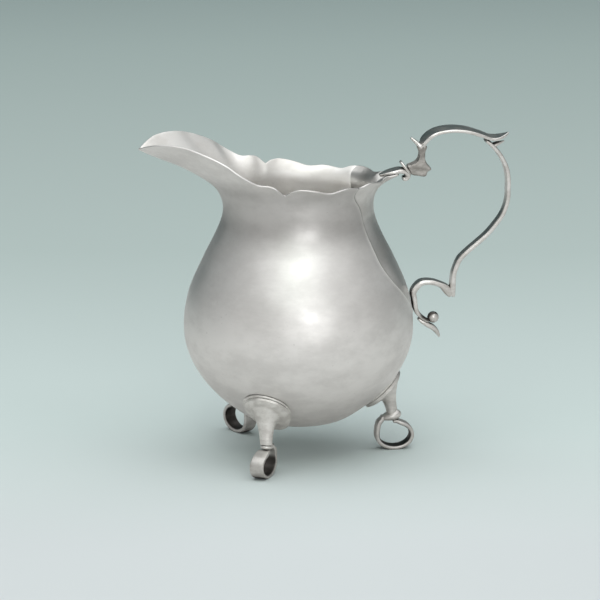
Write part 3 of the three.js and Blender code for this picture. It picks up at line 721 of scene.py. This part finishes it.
def normals_of(grid):
    """Outward normals of a grid of points, rows going up and columns going round."""
    up = np.gradient(grid, axis=0)
    across = np.gradient(grid, axis=1)
    normal = np.cross(up, across)
    normal /= np.maximum(np.linalg.norm(normal, axis=2, keepdims=True), 1e-9)
    outward = grid * (1, 1, 0) + (0, 0, -BASE_CLEARANCE)
    flip = np.sign(np.sum(normal * outward, axis=2))
    return normal * np.where(np.median(flip) < 0, -1, 1)


def sheet_walls(rows):
    return WALL + (RIM_WALL - WALL) * step_between(rows, 1.6, 2.0)


def outer_mask(mask):
    """A mask of the outside, carried over the rim's edge and left off the inside."""
    return np.concatenate([mask, np.repeat(mask[-1:], EDGE_STEPS, axis=0), 0 * mask]).reshape(-1)


def thick_sheet(grid, walls, closed_rows=0):
    """Points, faces and numbers of the inner faces of a sheet; its first closed_rows rows go all round."""
    rows, columns, _ = grid.shape
    normal = normals_of(grid)
    if closed_rows:
        middle = (normal[:closed_rows, 0] + normal[:closed_rows, -1]) / 2
        normal[:closed_rows, 0] = middle
        normal[:closed_rows, -1] = middle
    inside = grid - normal * walls[:, None, None]
    up = grid[-1] - grid[-2]
    up /= np.linalg.norm(up, axis=1, keepdims=True)
    half = walls[-1] / 2
    grid = grid.copy()
    grid[-1] -= up * half
    inside[-1] -= up * half
    middle = (grid[-1] + inside[-1]) / 2
    edge = []
    for step in range(1, EDGE_STEPS + 1):
        turn = math.pi * step / (EDGE_STEPS + 1)
        edge.append(middle + half * (normal[-1] * math.cos(turn) + up * math.sin(turn)))
    loops = np.concatenate([grid, np.array(edge), inside[::-1]])
    total = len(loops)

    def number(loop, column):
        closed = min(loop, total - 1 - loop) < closed_rows
        return loop * columns + (0 if closed and column == columns - 1 else column)

    faces, inner = [], []
    for loop in range(total - 1):
        for column in range(columns - 1):
            quad = (number(loop, column), number(loop, column + 1),
                    number(loop + 1, column + 1), number(loop + 1, column))
            if loop >= rows + EDGE_STEPS - 1:
                inner.append(len(faces))
            faces.append(quad)
    for row in range(max(closed_rows - 1, 0), rows - 1):
        for column in (0, columns - 1):
            faces.append((number(row, column), number(row + 1, column),
                          number(total - 2 - row, column), number(total - 1 - row, column)))
    for column in (0, columns - 1):
        faces.append(tuple(number(loop, column) for loop in range(rows - 1, rows + EDGE_STEPS + 1)))
    return loops.reshape(-1, 3), faces, inner


print("rows of the sheet:", len(ROWS))

# %% [markdown]
# ## Body
# The body's grid runs from the seam on the far side, round the lip, to the seam on the near side.
# Hammer work leaves a soft waviness about a centimetre long and up to a tenth of a millimetre deep.
# On satin metal this bends the reflections, so it is moved into the points.

# %% Body
COLUMNS = 241
BODY_HAMMER = 0.13
LONG_WAVE, SHORT_WAVE = 11.0, 5.0
PRESSED = 1.6
EASE_ROUNDS = 36
LAP, LAP_WIDTH = 0.20, 0.5
SOLDER_AND_HIGHLIGHT_WIDTH = 0.35
GAP = 0.07
AWAY = 9
NECK_SHADE = 0.36


def hammered(grid, depth):
    """The grid with the soft waviness of hammer work, pressed inwards only."""
    flat = grid.reshape(-1, 3)
    waves = uneven(flat, LONG_WAVE, depth, 3.0) + uneven(flat, SHORT_WAVE, 0.35 * depth, 7.0)
    return grid + normals_of(grid) * (waves - PRESSED * depth).reshape(grid.shape[:2])[..., None]


def gap_angle(angle, rows):
    """The angle that the gap beside the seam takes up on each row."""
    return np.degrees(GAP / np.maximum(reach_of(sheet_at(angle, rows)), 1))


def worked_sheet(angle, rows, depth, steepest=UPRIGHT):
    """The hammered grid of a sheet piece."""
    grid = sheet_at(angle, np.repeat(rows[:, None], angle.shape[1], axis=1), steepest)
    return hammered(eased_neck(grid, rows), depth)


def eased_neck(grid, rows):
    """The grid with the turn from body to flared neck made soft along each column."""
    share = (step_between(rows, 0.84, 0.95) * (1 - step_between(rows, 1.10, 1.32)))[1:-1, None, None]
    for _ in range(EASE_ROUNDS):
        middle = 0.5 * (grid[:-2] + grid[2:])
        grid = np.concatenate([grid[:1], grid[1:-1] + 0.5 * share * (middle - grid[1:-1]), grid[-1:]])
    return grid


def body_piece():
    share = np.linspace(-1, 1, COLUMNS)[None]
    closed = int(np.sum(near_seam >= 179.99))
    gap = gap_angle(near_seam, ROWS)
    gap[:closed] = 0
    angle = share * np.where(share > 0, (near_seam - gap)[:, None], (far_seam - gap)[:, None])
    grid = worked_sheet(angle, ROWS, BODY_HAMMER)
    limit = np.where(angle > 0, near_seam[:, None], far_seam[:, None])
    from_seam = np.radians(limit - np.abs(angle)) * reach_of(grid)
    from_seam[:closed] = AWAY
    grid += normals_of(grid) * (LAP * np.exp(-(from_seam / LAP_WIDTH) ** 2))[..., None]
    grid[:closed, -1] = grid[:closed, 0]
    points, faces, inner = thick_sheet(grid, sheet_walls(ROWS), closed)
    underside = len(points)
    points = np.vstack([points, [(0, 0, BASE_CLEARANCE), (0, 0, BASE_CLEARANCE + WALL)]])
    last = (2 * len(ROWS) + EDGE_STEPS - 1) * COLUMNS
    for column in range(COLUMNS - 1):
        after = (column + 1) % (COLUMNS - 1)
        faces.append((underside, column, after))
        faces.append((underside + 1, last + after, last + column))
    # A near-white line on the body's edge along the seam: solder, painted bright as the highlight on the
    # lapped edge.
    solder_and_highlight = np.concatenate([outer_mask(np.exp(-(from_seam / SOLDER_AND_HIGHLIGHT_WIDTH) ** 2)), [0, 0]])
    height = points[:, 2]
    # Painted shade: a soft darker ring on the outside of the neck, under the rim.
    neck_shade = NECK_SHADE * step_between(height, 68, 77) * (1 - step_between(height, 85, 93))
    make_piece("body", points, faces, SHEET, "raised_sheet", sharp=50,
               masks={"solder_and_highlight": solder_and_highlight, "shade_and_darkening": neck_shade}, inner=(inner, INSIDE))


body_piece()

# %% [markdown]
# ## Back panel
# The panel fills the leaf-shaped opening and carries the handle. Its top edge is low beside the
# seam and runs out in the middle as a narrow tongue, which the strap of the handle sits on. Its
# columns are closer together near the tongue, where the edge turns most. A faint crease crosses it
# at the neck, left when the sheet was bent over.

# %% Back panel
FAR_PANEL_SLOPE = 38
PANEL_HAMMER = 0.10
CREASE_HEIGHT, CREASE_DEPTH = 77.2, 0.05
CREVICE, CREVICE_WIDTH = 0.8, 0.32


def panel_piece():
    tip = len(low_rows) + 1
    rows, near, far = ROWS[tip:], 180 - near_seam[tip:], 180 - far_seam[tip:]
    share = np.linspace(-1, 1, 181)[None]
    share = share * (0.45 + 0.55 * share ** 2)
    gap = gap_angle(near_seam[tip:], rows)
    width = np.where(share > 0, (near - gap)[:, None], (far - gap)[:, None])
    offset = share * width
    angle = np.where(offset > 0, 180 - offset, -180 - offset)
    grid = worked_sheet(angle, rows, PANEL_HAMMER, np.where(angle < 0, FAR_PANEL_SLOPE, UPRIGHT))
    crease = -CREASE_DEPTH * np.exp(-((grid[..., 2] - CREASE_HEIGHT) / 0.7) ** 2)
    grid += normals_of(grid) * crease[..., None]
    points, faces, inner = thick_sheet(grid, sheet_walls(rows))
    columns = share.shape[1]
    last = (2 * len(rows) + EDGE_STEPS - 1) * columns
    faces += [(i, i + 1, last + i + 1, last + i) for i in range(columns - 1)]
    from_seam = np.radians(np.maximum(width - np.abs(offset), 0)) * reach_of(grid)
    # Painted shade: a dark line in the crevice along the panel's edge at the seam.
    make_piece("back_panel", points, faces, PANEL, "let_in_panel", sharp=50,
               masks={"shade_and_darkening": outer_mask(CREVICE * np.exp(-(from_seam / CREVICE_WIDTH) ** 2))},
               inner=(inner, PANEL_INSIDE))


panel_piece()

# %% [markdown]
# ## Bands of the handle
# The handle is built up from cast bands that taper and curl in one upright plane. A band is a
# section swept along a drawn path: the keys give how far out and how high a point is from the lower
# joint, and the band's width and thickness there. Sweeping in code keeps the section upright and
# lets both sizes change, which a bevelled curve can't do separately. Corners and ends are rounded.

# %% Handle points and bands
LOWER_JOINT = 47.0
HANDLE_RISE = 41.2
HANDLE_LEAN = -4.9
CORNER = 0.32
lower_x = float(body_radius(LOWER_JOINT)) + 0.3
upper_x = NECK_RADIUS + 8.0
upper_z = NECK_HEIGHT + 9.7


def handle_point(out, up):
    """A point of the handle's drawing in the jug's own frame."""
    share = min(max(up / HANDLE_RISE, 0), 1)
    x = lower_x + out + share * (upper_x - lower_x - HANDLE_LEAN)
    z = LOWER_JOINT + up + share * (upper_z - LOWER_JOINT - HANDLE_RISE)
    return np.array([x, 0.0, z])


def strip_ring(middle, across, normal, half_width, half_thick, corner, crown):
    """One section: a flat strip with round corners and slightly domed faces."""
    ring = []
    for quarter, (a, b) in enumerate(((1, 1), (-1, 1), (-1, -1), (1, -1))):
        for step in range(5):
            turn = math.radians(90 * quarter + 22.5 * step)
            wide = a * (half_width - corner) + corner * math.cos(turn)
            thick = b * (half_thick - corner) + corner * math.sin(turn)
            ring.append(middle + across * wide + normal * thick)
        face = normal * b if quarter % 2 == 0 else across * a
        reach = half_thick if quarter % 2 == 0 else half_width
        ring.append(middle + face * (reach + crown))
    return ring


def band(keys, steps, place=handle_point, crown=0.05):
    """Points and faces of a closed band along keys of (out, up, width, thickness)."""
    across = np.array([0.0, 1.0, 0.0])
    centre = smooth_curve([place(key[0], key[1]) for key in keys], steps)
    sizes = smooth_keys([[i / (len(keys) - 1), key[2], key[3]] for i, key in enumerate(keys)])
    along = np.gradient(centre, axis=0)
    along /= np.linalg.norm(along, axis=1, keepdims=True)
    rings = []
    for k in range(steps + 1):
        width, thick = sizes(k / steps)
        normal = np.cross(along[k], across)
        normal /= np.linalg.norm(normal)
        corner = CORNER * min(width, thick)
        if k in (0, steps):
            outward = along[k] if k else -along[k]
            round_end = [(-corner, 0), (-0.3 * corner, 0.3 * corner), (0, 0.9 * corner)]
            ends = [strip_ring(centre[k] + outward * shift, across, normal, width / 2 - inset,
                               thick / 2 - inset, corner - 0.9 * inset, 0 if inset else crown)
                    for shift, inset in round_end]
            rings += ends if k else ends[::-1]
        else:
            rings.append(strip_ring(centre[k], across, normal, width / 2, thick / 2, corner, crown))
    return skin(rings)


def skin(rings, fans=True):
    """Points and faces of a closed skin over rings; a fan or a single face closes each end."""
    count = len(rings[0])
    last = (len(rings) - 1) * count
    points = [p for ring in rings for p in ring]
    faces = []
    for first in range(0, last, count):
        for i in range(count):
            j = (i + 1) % count
            faces.append((first + i, first + j, first + count + j, first + count + i))
    for first in (0, last):
        if fans:
            faces += [(len(points), first + i, first + (i + 1) % count) for i in range(count)]
            points.append(np.mean(points[first:first + count], axis=0))
        else:
            faces.append(tuple(range(first, first + count)))
    return np.array(points), faces


TURNS = np.linspace(0, 2 * math.pi, 48, endpoint=False)


def round_skin(rises, section):
    """A round closed skin; section gives x, y and z at a rise, in radians, for every turn."""
    return skin([np.stack(np.broadcast_arrays(*section(math.radians(rise))), axis=1) for rise in rises])


def turned_by(points, degrees, axis):
    return points @ np.array(Matrix.Rotation(math.radians(degrees), 3, axis)).T


print("handle joints at x =", round(lower_x, 2), "and", round(upper_x, 2), "mm from the axis")

# %% [markdown]
# ## Upper end of the handle
# From the tongue outwards come a strap whose end curls under, a thin oval collar, and the knuckle
# that the handle grows from. Strap and spur are bands. The knuckle is a thick plate cut to a drawn
# outline, with a leaf point at its outer lower corner; it is remade in small cells and smoothed, so
# its edges are as soft as a filed casting's.

# %% Strap, collar, knuckle and spur
CAST_WORK = 0.02
PLATE_STEPS = 180
make_piece("upper_strap", *band([
    (-10.9, 40.9, 2.0, 0.8), (-8.6, 41.6, 4.6, 1.0), (-6.6, 42.1, 5.4, 1.15), (-4.4, 42.4, 5.2, 1.35),
    (-2.75, 41.9, 4.8, 1.5), (-2.1, 40.8, 4.4, 1.5), (-2.8, 39.85, 4, 1.3), (-3.7, 39.9, 3.6, 1.0),
], 60), CASTING, "cast_handle", worked=CAST_WORK)


def disc(radius, thick, squash):
    """Points and faces of a thin plate with a round edge; squash is its width over its length."""
    half = thick / 2

    def section(rise):
        reach = radius - half + half * math.cos(rise)
        return reach * np.cos(TURNS), squash * reach * np.sin(TURNS), half * math.sin(rise)
    return round_skin(np.linspace(-90, 90, 7), section)


COLLAR_STAND = 90 - 37
disc_points, disc_faces = disc(2.75, 0.9, 1.15)
make_piece("handle_collar", turned_by(disc_points, COLLAR_STAND, "Y") + handle_point(-2.8, 43.1),
           disc_faces, CASTING, "cast_handle")


def thick_plate(outline, width, edge):
    """Rings of a plate of even width across the handle, cut to an outline, with rounded edges."""
    corners = [handle_point(*p) for p in outline]
    spans = len(corners) + 4
    loop = smooth_curve(corners[-2:] + corners + corners[:3], PLATE_STEPS)
    loop = loop[round(2 * PLATE_STEPS / spans):round((len(corners) + 2) * PLATE_STEPS / spans)]
    before, after = np.roll(loop, 1, axis=0), np.roll(loop, -1, axis=0)
    inward = np.cross(after - before, (0, 1, 0))
    inward /= np.linalg.norm(inward, axis=1, keepdims=True)
    inward *= 1 if np.sum(loop[:, 0] * after[:, 2] - after[:, 0] * loop[:, 2]) > 0 else -1
    rings = []
    for side, turns in ((-1, (90, 67.5, 45, 22.5, 0)), (1, (0, 22.5, 45, 67.5, 90))):
        for turn in np.radians(turns):
            level = side * (width / 2 - edge + edge * math.sin(turn))
            rings.append(loop + inward * edge * (1 - math.cos(turn)) + (0, level, 0))
    return rings


def part_of(name, points, faces):
    mesh = bpy.data.meshes.new(name)
    mesh.from_pydata(points.tolist(), [], faces)
    return placed(name, mesh)


def applied(part):
    """Points and faces of a part once its modifiers are applied."""
    bpy.context.view_layer.update()
    whole = bpy.data.meshes.new_from_object(part.evaluated_get(bpy.context.evaluated_depsgraph_get()))
    bpy.data.objects.remove(part)
    return np.array([v.co for v in whole.vertices]), [tuple(p.vertices) for p in whole.polygons]


def cast_soft(name, points, faces, cell, rounds):
    """The shape remade in small even cells and smoothed, like a casting that was filed up by hand."""
    part = part_of(name, points, faces)
    cells = part.modifiers.new("cells", "REMESH")
    cells.mode = "VOXEL"
    cells.voxel_size = cell
    soft = part.modifiers.new("soft", "SMOOTH")
    soft.factor = 0.5
    soft.iterations = rounds
    return applied(part)


KNUCKLE = [
    (0.9, 50.0), (1.5, 47.9), (1.35, 46.3), (0.6, 45.1), (-1.0, 44.3), (-2.2, 43.8), (-1.7, 42.3),
    (-0.7, 41.0), (0.8, 40.7), (2.2, 40.5), (3.5, 40.6), (4.1, 41.8), (5.2, 42.6), (3.9, 44.3),
    (3.35, 45.9), (3.2, 47.5), (3.7, 50.0),
]
knuckle_skin = skin(thick_plate(KNUCKLE, 3.8, 0.55), fans=False)
make_piece("handle_root", *cast_soft("knuckle", *knuckle_skin, 0.14, 6), SHADED_CAST, "cast_handle", worked=0.2)
make_piece("thumb_spur", *band([
    (2.3, 49.5, 4.4, 1.3), (0.9, 50.75, 3.6, 1.1), (-0.35, 51.85, 2.2, 0.85), (-1.1, 52.6, 0.8, 0.55),
], 24), CASTING, "cast_handle")

# %% [markdown]
# ## Arch and grip
# The arch is the broad flat band over the top; it is widest where the thumb rests and ends in an
# upturned point. The grip leaves from under it and sweeps down to the lower scroll. A small spur on
# the grip is joined with a boolean union, so that the two make one closed solid.

# %% Arch and grip
make_piece("handle_arch", *band([
    (2.3, 49.9, 5.6, 1.2), (3.1, 51.6, 7.0, 1.2), (4.6, 53.1, 7.8, 1.1), (6.5, 54.2, 8.0, 1.0),
    (9.4, 54.85, 8.4, 1.0), (12.4, 55.0, 8.4, 1.0), (16.4, 54.5, 8.4, 1.0), (20.4, 53.25, 8.0, 1.0),
    (23.9, 51.95, 7.2, 0.95), (25.5, 51.85, 6.8, 0.9), (27.1, 52.15, 5.2, 0.85), (28.6, 52.7, 3.0, 0.7),
    (29.66, 53.36, 0.8, 0.4),
], 130), CASTING, "cast_handle", worked=CAST_WORK)


def united(name, first, second):
    """Points and faces of two closed skins joined into one by a boolean."""
    parts = [part_of(f"{name}_{number}", *shape) for number, shape in enumerate((first, second))]
    for part in parts:
        shape = bmesh.new()
        shape.from_mesh(part.data)
        bmesh.ops.recalc_face_normals(shape, faces=shape.faces)
        shape.to_mesh(part.data)
        shape.free()
    join = parts[0].modifiers.new("join", "BOOLEAN")
    join.operation = "UNION"
    join.solver = "EXACT"
    join.object = parts[1]
    whole = applied(parts[0])
    bpy.data.objects.remove(parts[1])
    return whole


grip_keys = [
    (22.3, 51.2, 4.8, 0.896), (23.9, 49.9, 5, 1.12), (25.7, 48, 5, 1.232), (27.5, 45.4, 4.8, 1.288),
    (28.9, 42.2, 4.6, 1.288), (29.58, 38.5, 4.4, 1.288), (29.58, 36, 4.2, 1.288), (29.58, 33, 4.2, 1.288),
    (29, 30.2, 4, 1.288), (27.9, 27.4, 4, 1.288), (25.9, 24.5, 4, 1.288), (23.2, 21.3, 4, 1.344),
    (19.8, 18.3, 4, 1.344), (16.35, 15.3, 4, 1.4), (14.7, 13.5, 4, 1.4), (13.7, 11.3, 4, 1.4),
    (13, 9, 4, 1.456), (12.75, 6, 3.8, 1.68), (12.7, 3.6, 3.4, 1.792), (13, 1.6, 3, 1.008),
]
spur_keys = [
    (24.4, 49.3, 3.6, 0.9), (26.0, 49.9, 3.0, 0.9), (27.2, 50.3, 1.8, 0.6), (28.3, 50.65, 0.6, 0.35),
]
make_piece("grip_rod", *united("grip", band(grip_keys, 190), band(spur_keys, 24)),
           CASTING, "cast_handle", worked=CAST_WORK)

# %% [markdown]
# ## Lower scroll
# A C-shaped band lies against the belly, carries the grip on its outer end, and curls round a small
# solid bud at its lower one. A pointed tail hangs below. The bud is turned from an outline instead
# of being a plain ball: it is slightly flattened on its two sides.

# %% Scroll, bud and tail
BELLY_FALL = float(body_radius(LOWER_JOINT + 3.4) - body_radius(LOWER_JOINT))
BUD = handle_point(6.75, -4.95)
BUD_RADIUS = 1.8
BUD_SHADE = 0.9


def inner_side(points, keys):
    """1 on the side of a band that faces the bud, 0 on the side that faces away."""
    flat = points[:, [0, 2]]
    line = smooth_curve([handle_point(key[0], key[1]) for key in keys], 200)[:, [0, 2]]
    line = line[np.argmin(np.linalg.norm(flat[:, None] - line[None], axis=2), axis=1)]
    inwards = BUD[[0, 2]] - line
    inwards /= np.linalg.norm(inwards, axis=1, keepdims=True)
    return step_between(np.sum((flat - line) * inwards, axis=1), -0.15, 0.15)


scroll_keys = [
    (12.2, 1.8, 3.2, 1.2), (11.5, 2.9, 3.6, 2.3), (10.5, 4.3, 4.2, 2.5), (8.7, 5.6, 4.4, 1.6),
    (6.6, 6.4, 4.4, 1.45), (4.6, 6.65, 4.4, 1.5), (2.8, 6.4, 4.4, 1.6), (1.5, 5.4, 4.4, 1.7),
    (0.95 + BELLY_FALL, 3.4, 4.4, 1.7), (0.65, 1, 4.4, 1.6), (0.9, -1.2, 4.4, 1.5), (1.5, -2.9, 4.0, 1.35),
    (2.65, -4.35, 3.6, 1.2), (4.0, -5.4, 3.2, 1.0), (5.3, -6.1, 3.0, 0.8),
]
scroll_points, scroll_faces = band(scroll_keys, 130, crown=0.08)
# Painted shade on the inner side of the scroll, in the recess round the bud.
bud_space = 1 - step_between(np.linalg.norm((scroll_points - BUD)[:, [0, 2]], axis=1), 3.6, 5.4)
bud_recess_shade = BUD_SHADE * bud_space * inner_side(scroll_points, scroll_keys)
make_piece("lower_scroll", scroll_points, scroll_faces, CASTING, "cast_handle",
           masks={"shade_and_darkening": bud_recess_shade}, worked=CAST_WORK)


def bud_section(rise):
    reach = BUD_RADIUS * math.cos(rise) * (1 - 0.03 * math.sin(rise) ** 2)
    return reach * np.cos(TURNS), 0.97 * BUD_RADIUS * math.sin(rise), reach * np.sin(TURNS)


bud_points, bud_faces = round_skin(np.linspace(-90, 90, 29)[1:-1], bud_section)
# Painted dark reflection on the bud's upper side.
shaded = step_between(bud_points @ np.array([-0.35, 0.35, 0.85]), 0.1, 0.75)
make_piece("scroll_bud", bud_points + BUD, bud_faces, CASTING, "cast_handle",
           masks={"shade_and_darkening": BUD_SHADE * shaded}, worked=CAST_WORK)
make_piece("scroll_tail", *band([
    (2.0, -5.2, 2.4, 0.7), (3.2, -6.2, 3.0, 1.1), (4.8, -7.2, 3.2, 1.4), (6.75, -8.3, 3.0, 1.6),
    (8.0, -9.8, 2.4, 1.25), (8.8, -11.35, 0.9, 0.5),
], 50), CASTING, "cast_handle")

# %% [markdown]
# ## Feet
# Each foot is a casting soldered over a thin backing patch: an oval pad that fits the round body,
# draws in to a stem, and stands on a band bent into a scroll, with a bead at the ankle. The pieces
# are drawn once in the plane under the handle and turned by a third of a circle for each foot. The
# patch and the pad are laid onto the body by sliding their points along the pad's own direction.

# %% Pad frame and projection
PAD_LENGTH = 16.6
PAD_WIDTH = 14.4
PAD_INSET = 9.5
ANKLE = np.array([29.3, 0, 11.1])
pad_index = int(np.argmax(OUTLINE[:, 0] >= BELLY_RADIUS - PAD_INSET))
pad_centre = np.array([OUTLINE[pad_index, 0], 0, OUTLINE[pad_index, 1]])
pad_step = OUTLINE[pad_index + 1] - OUTLINE[pad_index - 1]
pad_step /= np.linalg.norm(pad_step)
PAD_ALONG = np.array([pad_step[0], 0, pad_step[1]])
PAD_NORMAL = np.array([pad_step[1], 0, -pad_step[0]])


def body_distance(point):
    """Signed distance from the body's outside, negative inside, for a point low on the body."""
    place = np.array([math.hypot(point[0], point[1]), point[2]])
    near = int(np.argmin(np.sum((OUTLINE - place) ** 2, axis=1)))
    along = OUTLINE[min(near + 1, 600)] - OUTLINE[max(near - 1, 0)]
    out = np.array([along[1], -along[0]]) / np.linalg.norm(along)
    return float(np.dot(place - OUTLINE[near], out))


def onto_body(point, offset):
    """The point slid along the pad's direction until it stands off the body by an offset."""
    low, high = -8.0, 6.0
    for _ in range(22):
        depth = (low + high) / 2
        if body_distance(point + PAD_NORMAL * depth) < offset:
            low = depth
        else:
            high = depth
    return point + PAD_NORMAL * depth


def oval(centre, along, half_length, half_width, top=1.0):
    """A ring of points; top is the share of the half length that its upper end keeps."""
    return [centre + along * half_length * math.cos(a) * (top if math.cos(a) > 0 else 1)
            + np.array([0, half_width * math.sin(a), 0]) for a in TURNS]


print("pad centre", pad_centre.round(2), "normal", PAD_NORMAL.round(2))

# %% Patch, leg, knop and scroll
PATCH_LIFT = 0.62
PAD_TOP = 0.84
PAD_SEAT = 0.70
PAD_RIM = 1.1
SCROLL_CENTRE = np.array([30.3, 4.6])
BAND_DARKENING, FACE_SHADE = 0.20, 0.74


def pad_oval(depth=0.0, scale=1.0, extra=0.0):
    """The pad's oval, lifted off the body's outline along the pad's direction."""
    return oval(pad_centre + PAD_NORMAL * depth, PAD_ALONG, PAD_LENGTH / 2 * scale + extra,
                PAD_WIDTH / 2 * scale + extra, PAD_TOP)


def laid_on(scale, offset, extra=0.0):
    """The pad's oval laid onto the body, standing off it by an offset."""
    return [onto_body(p, offset) for p in pad_oval(scale=scale, extra=extra)]


def patch_shape():
    """A thin sheet over the body with a softly rounded edge."""
    rings = [laid_on(share, -0.05) for share in (0.15, 0.45, 0.75)]
    rings += [laid_on(1, -0.05, 0.30), laid_on(1, 0.12, 0.40), laid_on(1, 0.36, 0.42), laid_on(1, 0.54, 0.34),
              laid_on(1, PATCH_LIFT, 0.15)]
    rings += [laid_on(share, PATCH_LIFT) for share in (0.85, 0.6, 0.3, 0.1)]
    return skin(rings)


def leg_shape():
    """The pad's edge, its dome and the stem, with smooth rings between the drawn ones."""
    def over(depth, half_length, half_width, top):
        return [*(pad_centre + PAD_NORMAL * (PAD_RIM + depth)), *PAD_ALONG, half_length, half_width, top]

    def down(share, leaning, half_length, half_width, out=0.0):
        fall = (ANKLE - pad_centre) * share + (0.9 * math.sin(math.pi * share) + out, 0, 0)
        along = PAD_ALONG + (np.array([1, 0, 0.15]) - PAD_ALONG) * leaning
        return [*(pad_centre + fall), *(along / np.linalg.norm(along)), half_length, half_width, 1]

    rings = [laid_on(share, PAD_SEAT) for share in (0.15, 0.5, 0.8)]
    rings += [laid_on(1, PAD_SEAT, -0.12), laid_on(1, PAD_SEAT + 0.12)]
    rim = pad_oval(PAD_RIM)
    rings += [[(p + q) / 2 for p, q in zip(laid_on(1, PAD_SEAT + 0.2), rim)], rim]
    for row in smooth_curve([
        over(0.1, PAD_LENGTH / 2 - 0.22, PAD_WIDTH / 2 - 0.22, PAD_TOP),
        over(0.6, PAD_LENGTH / 2 - 1.0, PAD_WIDTH / 2 - 1.0, PAD_TOP),
        over(0.95, 6.0, 5.4, 0.9), over(1.25, 4.7, 4.4, 1),
        down(0.34, 0.5, 3.1, 3.2), down(0.48, 0.8, 2.3, 2.6), down(0.66, 0.95, 1.9, 2.2),
        down(0.84, 1, 1.75, 2.0, 0.2), down(0.95, 1, 1.65, 1.9, 0.3),
    ], 56):
        rings.append(oval(row[:3], row[3:6] / np.linalg.norm(row[3:6]), *row[6:]))
    return skin(rings)


def knop_shape():
    """The bead at the ankle: flattened, with a soft ridge round it, and tilted outwards."""
    def section(rise):
        reach = math.cos(rise) ** 0.85
        return (3.3 * reach * np.cos(TURNS), 2.7 * reach * np.sin(TURNS),
                (1.5 + 0.3 * np.cos(TURNS)) * math.sin(rise))
    points, faces = round_skin(np.linspace(-90, 90, 25)[1:-1], section)
    return turned_by(points, -14, "Y") + ANKLE - (0, 0, 0.45), faces


def scroll_shape():
    """The band bent round into the scroll that the jug stands on, worn flat underneath."""
    keys = [(26.9, 10.5, 3.0, 1.2), (26.35, 9.6, 3.4, 1.3), (25.4, 8.4, 4.0, 1.4)]
    for share in np.arange(11) / 10:
        turn = math.radians(175 + 255 * share)
        out, up = SCROLL_CENTRE + (5.525 * math.cos(turn), 4.125 * math.sin(turn))
        keys.append((out, up, 4.4, 1.35 - 0.2 * share))
    keys += [(31.1, 8.95, 3.9, 1.1), (29.9, 9.0, 3.6, 0.9)]
    points, faces = band(keys, 190, place=lambda x, z: np.array([x, 0.0, z]), crown=0.04)
    points[:, 2] = np.maximum(points[:, 2], 0)
    return points, faces


def scroll_shade_and_darkening(points):
    """An even darkening over the whole band, and painted shade on the inner face of the scroll; the shade
    fades at the edges.
    """
    from_centre = np.linalg.norm((points[:, [0, 2]] - SCROLL_CENTRE) / (5.0, 3.9), axis=1)
    inner_face = 1 - step_between(from_centre, 0.97, 1.10)
    across = 1 - step_between(np.abs(points[:, 1]), 1.95, 2.25)
    return BAND_DARKENING + FACE_SHADE * inner_face * across


def front_set(kind, points):
    """The foot at the front was bent a little aside, and its ankle sits lower."""
    points = points.copy()
    low = step_between(pad_centre[2] - points[:, 2], 0.0, pad_centre[2] - ANKLE[2])
    if kind == "foot_leg":
        points[:, 2] -= 1.4 * low
        points[:, 1] += 0.4 + 0.8 * low
    elif kind == "foot_knop":
        points = ANKLE + (-0.2, 1.2, -1.5) + (points - ANKLE) * (0.66, 0.72, 0.5)
    elif kind == "foot_scroll":
        points[:, 2] *= 0.91
        points[:, 1] += 0.6 + 0.4 * step_between(points[:, 2], 5, 9)
    return points


FRONT_FOOT = 2
FOOT_SHAPES = {"foot_patch": patch_shape(), "foot_leg": leg_shape(), "foot_knop": knop_shape(),
               "foot_scroll": scroll_shape()}
for number in range(3):
    for kind, (points, faces) in FOOT_SHAPES.items():
        is_scroll = kind == "foot_scroll"
        masks = {"shade_and_darkening": scroll_shade_and_darkening(points)} if is_scroll else None
        points = front_set(kind, points) if number == FRONT_FOOT else points
        make_piece(f"{kind}_{number + 1}", turned_by(points, 120 * number, "Z"), faces, FOOT, "cast_foot",
                   masks=masks, worked=0.0 if is_scroll else 0.03)
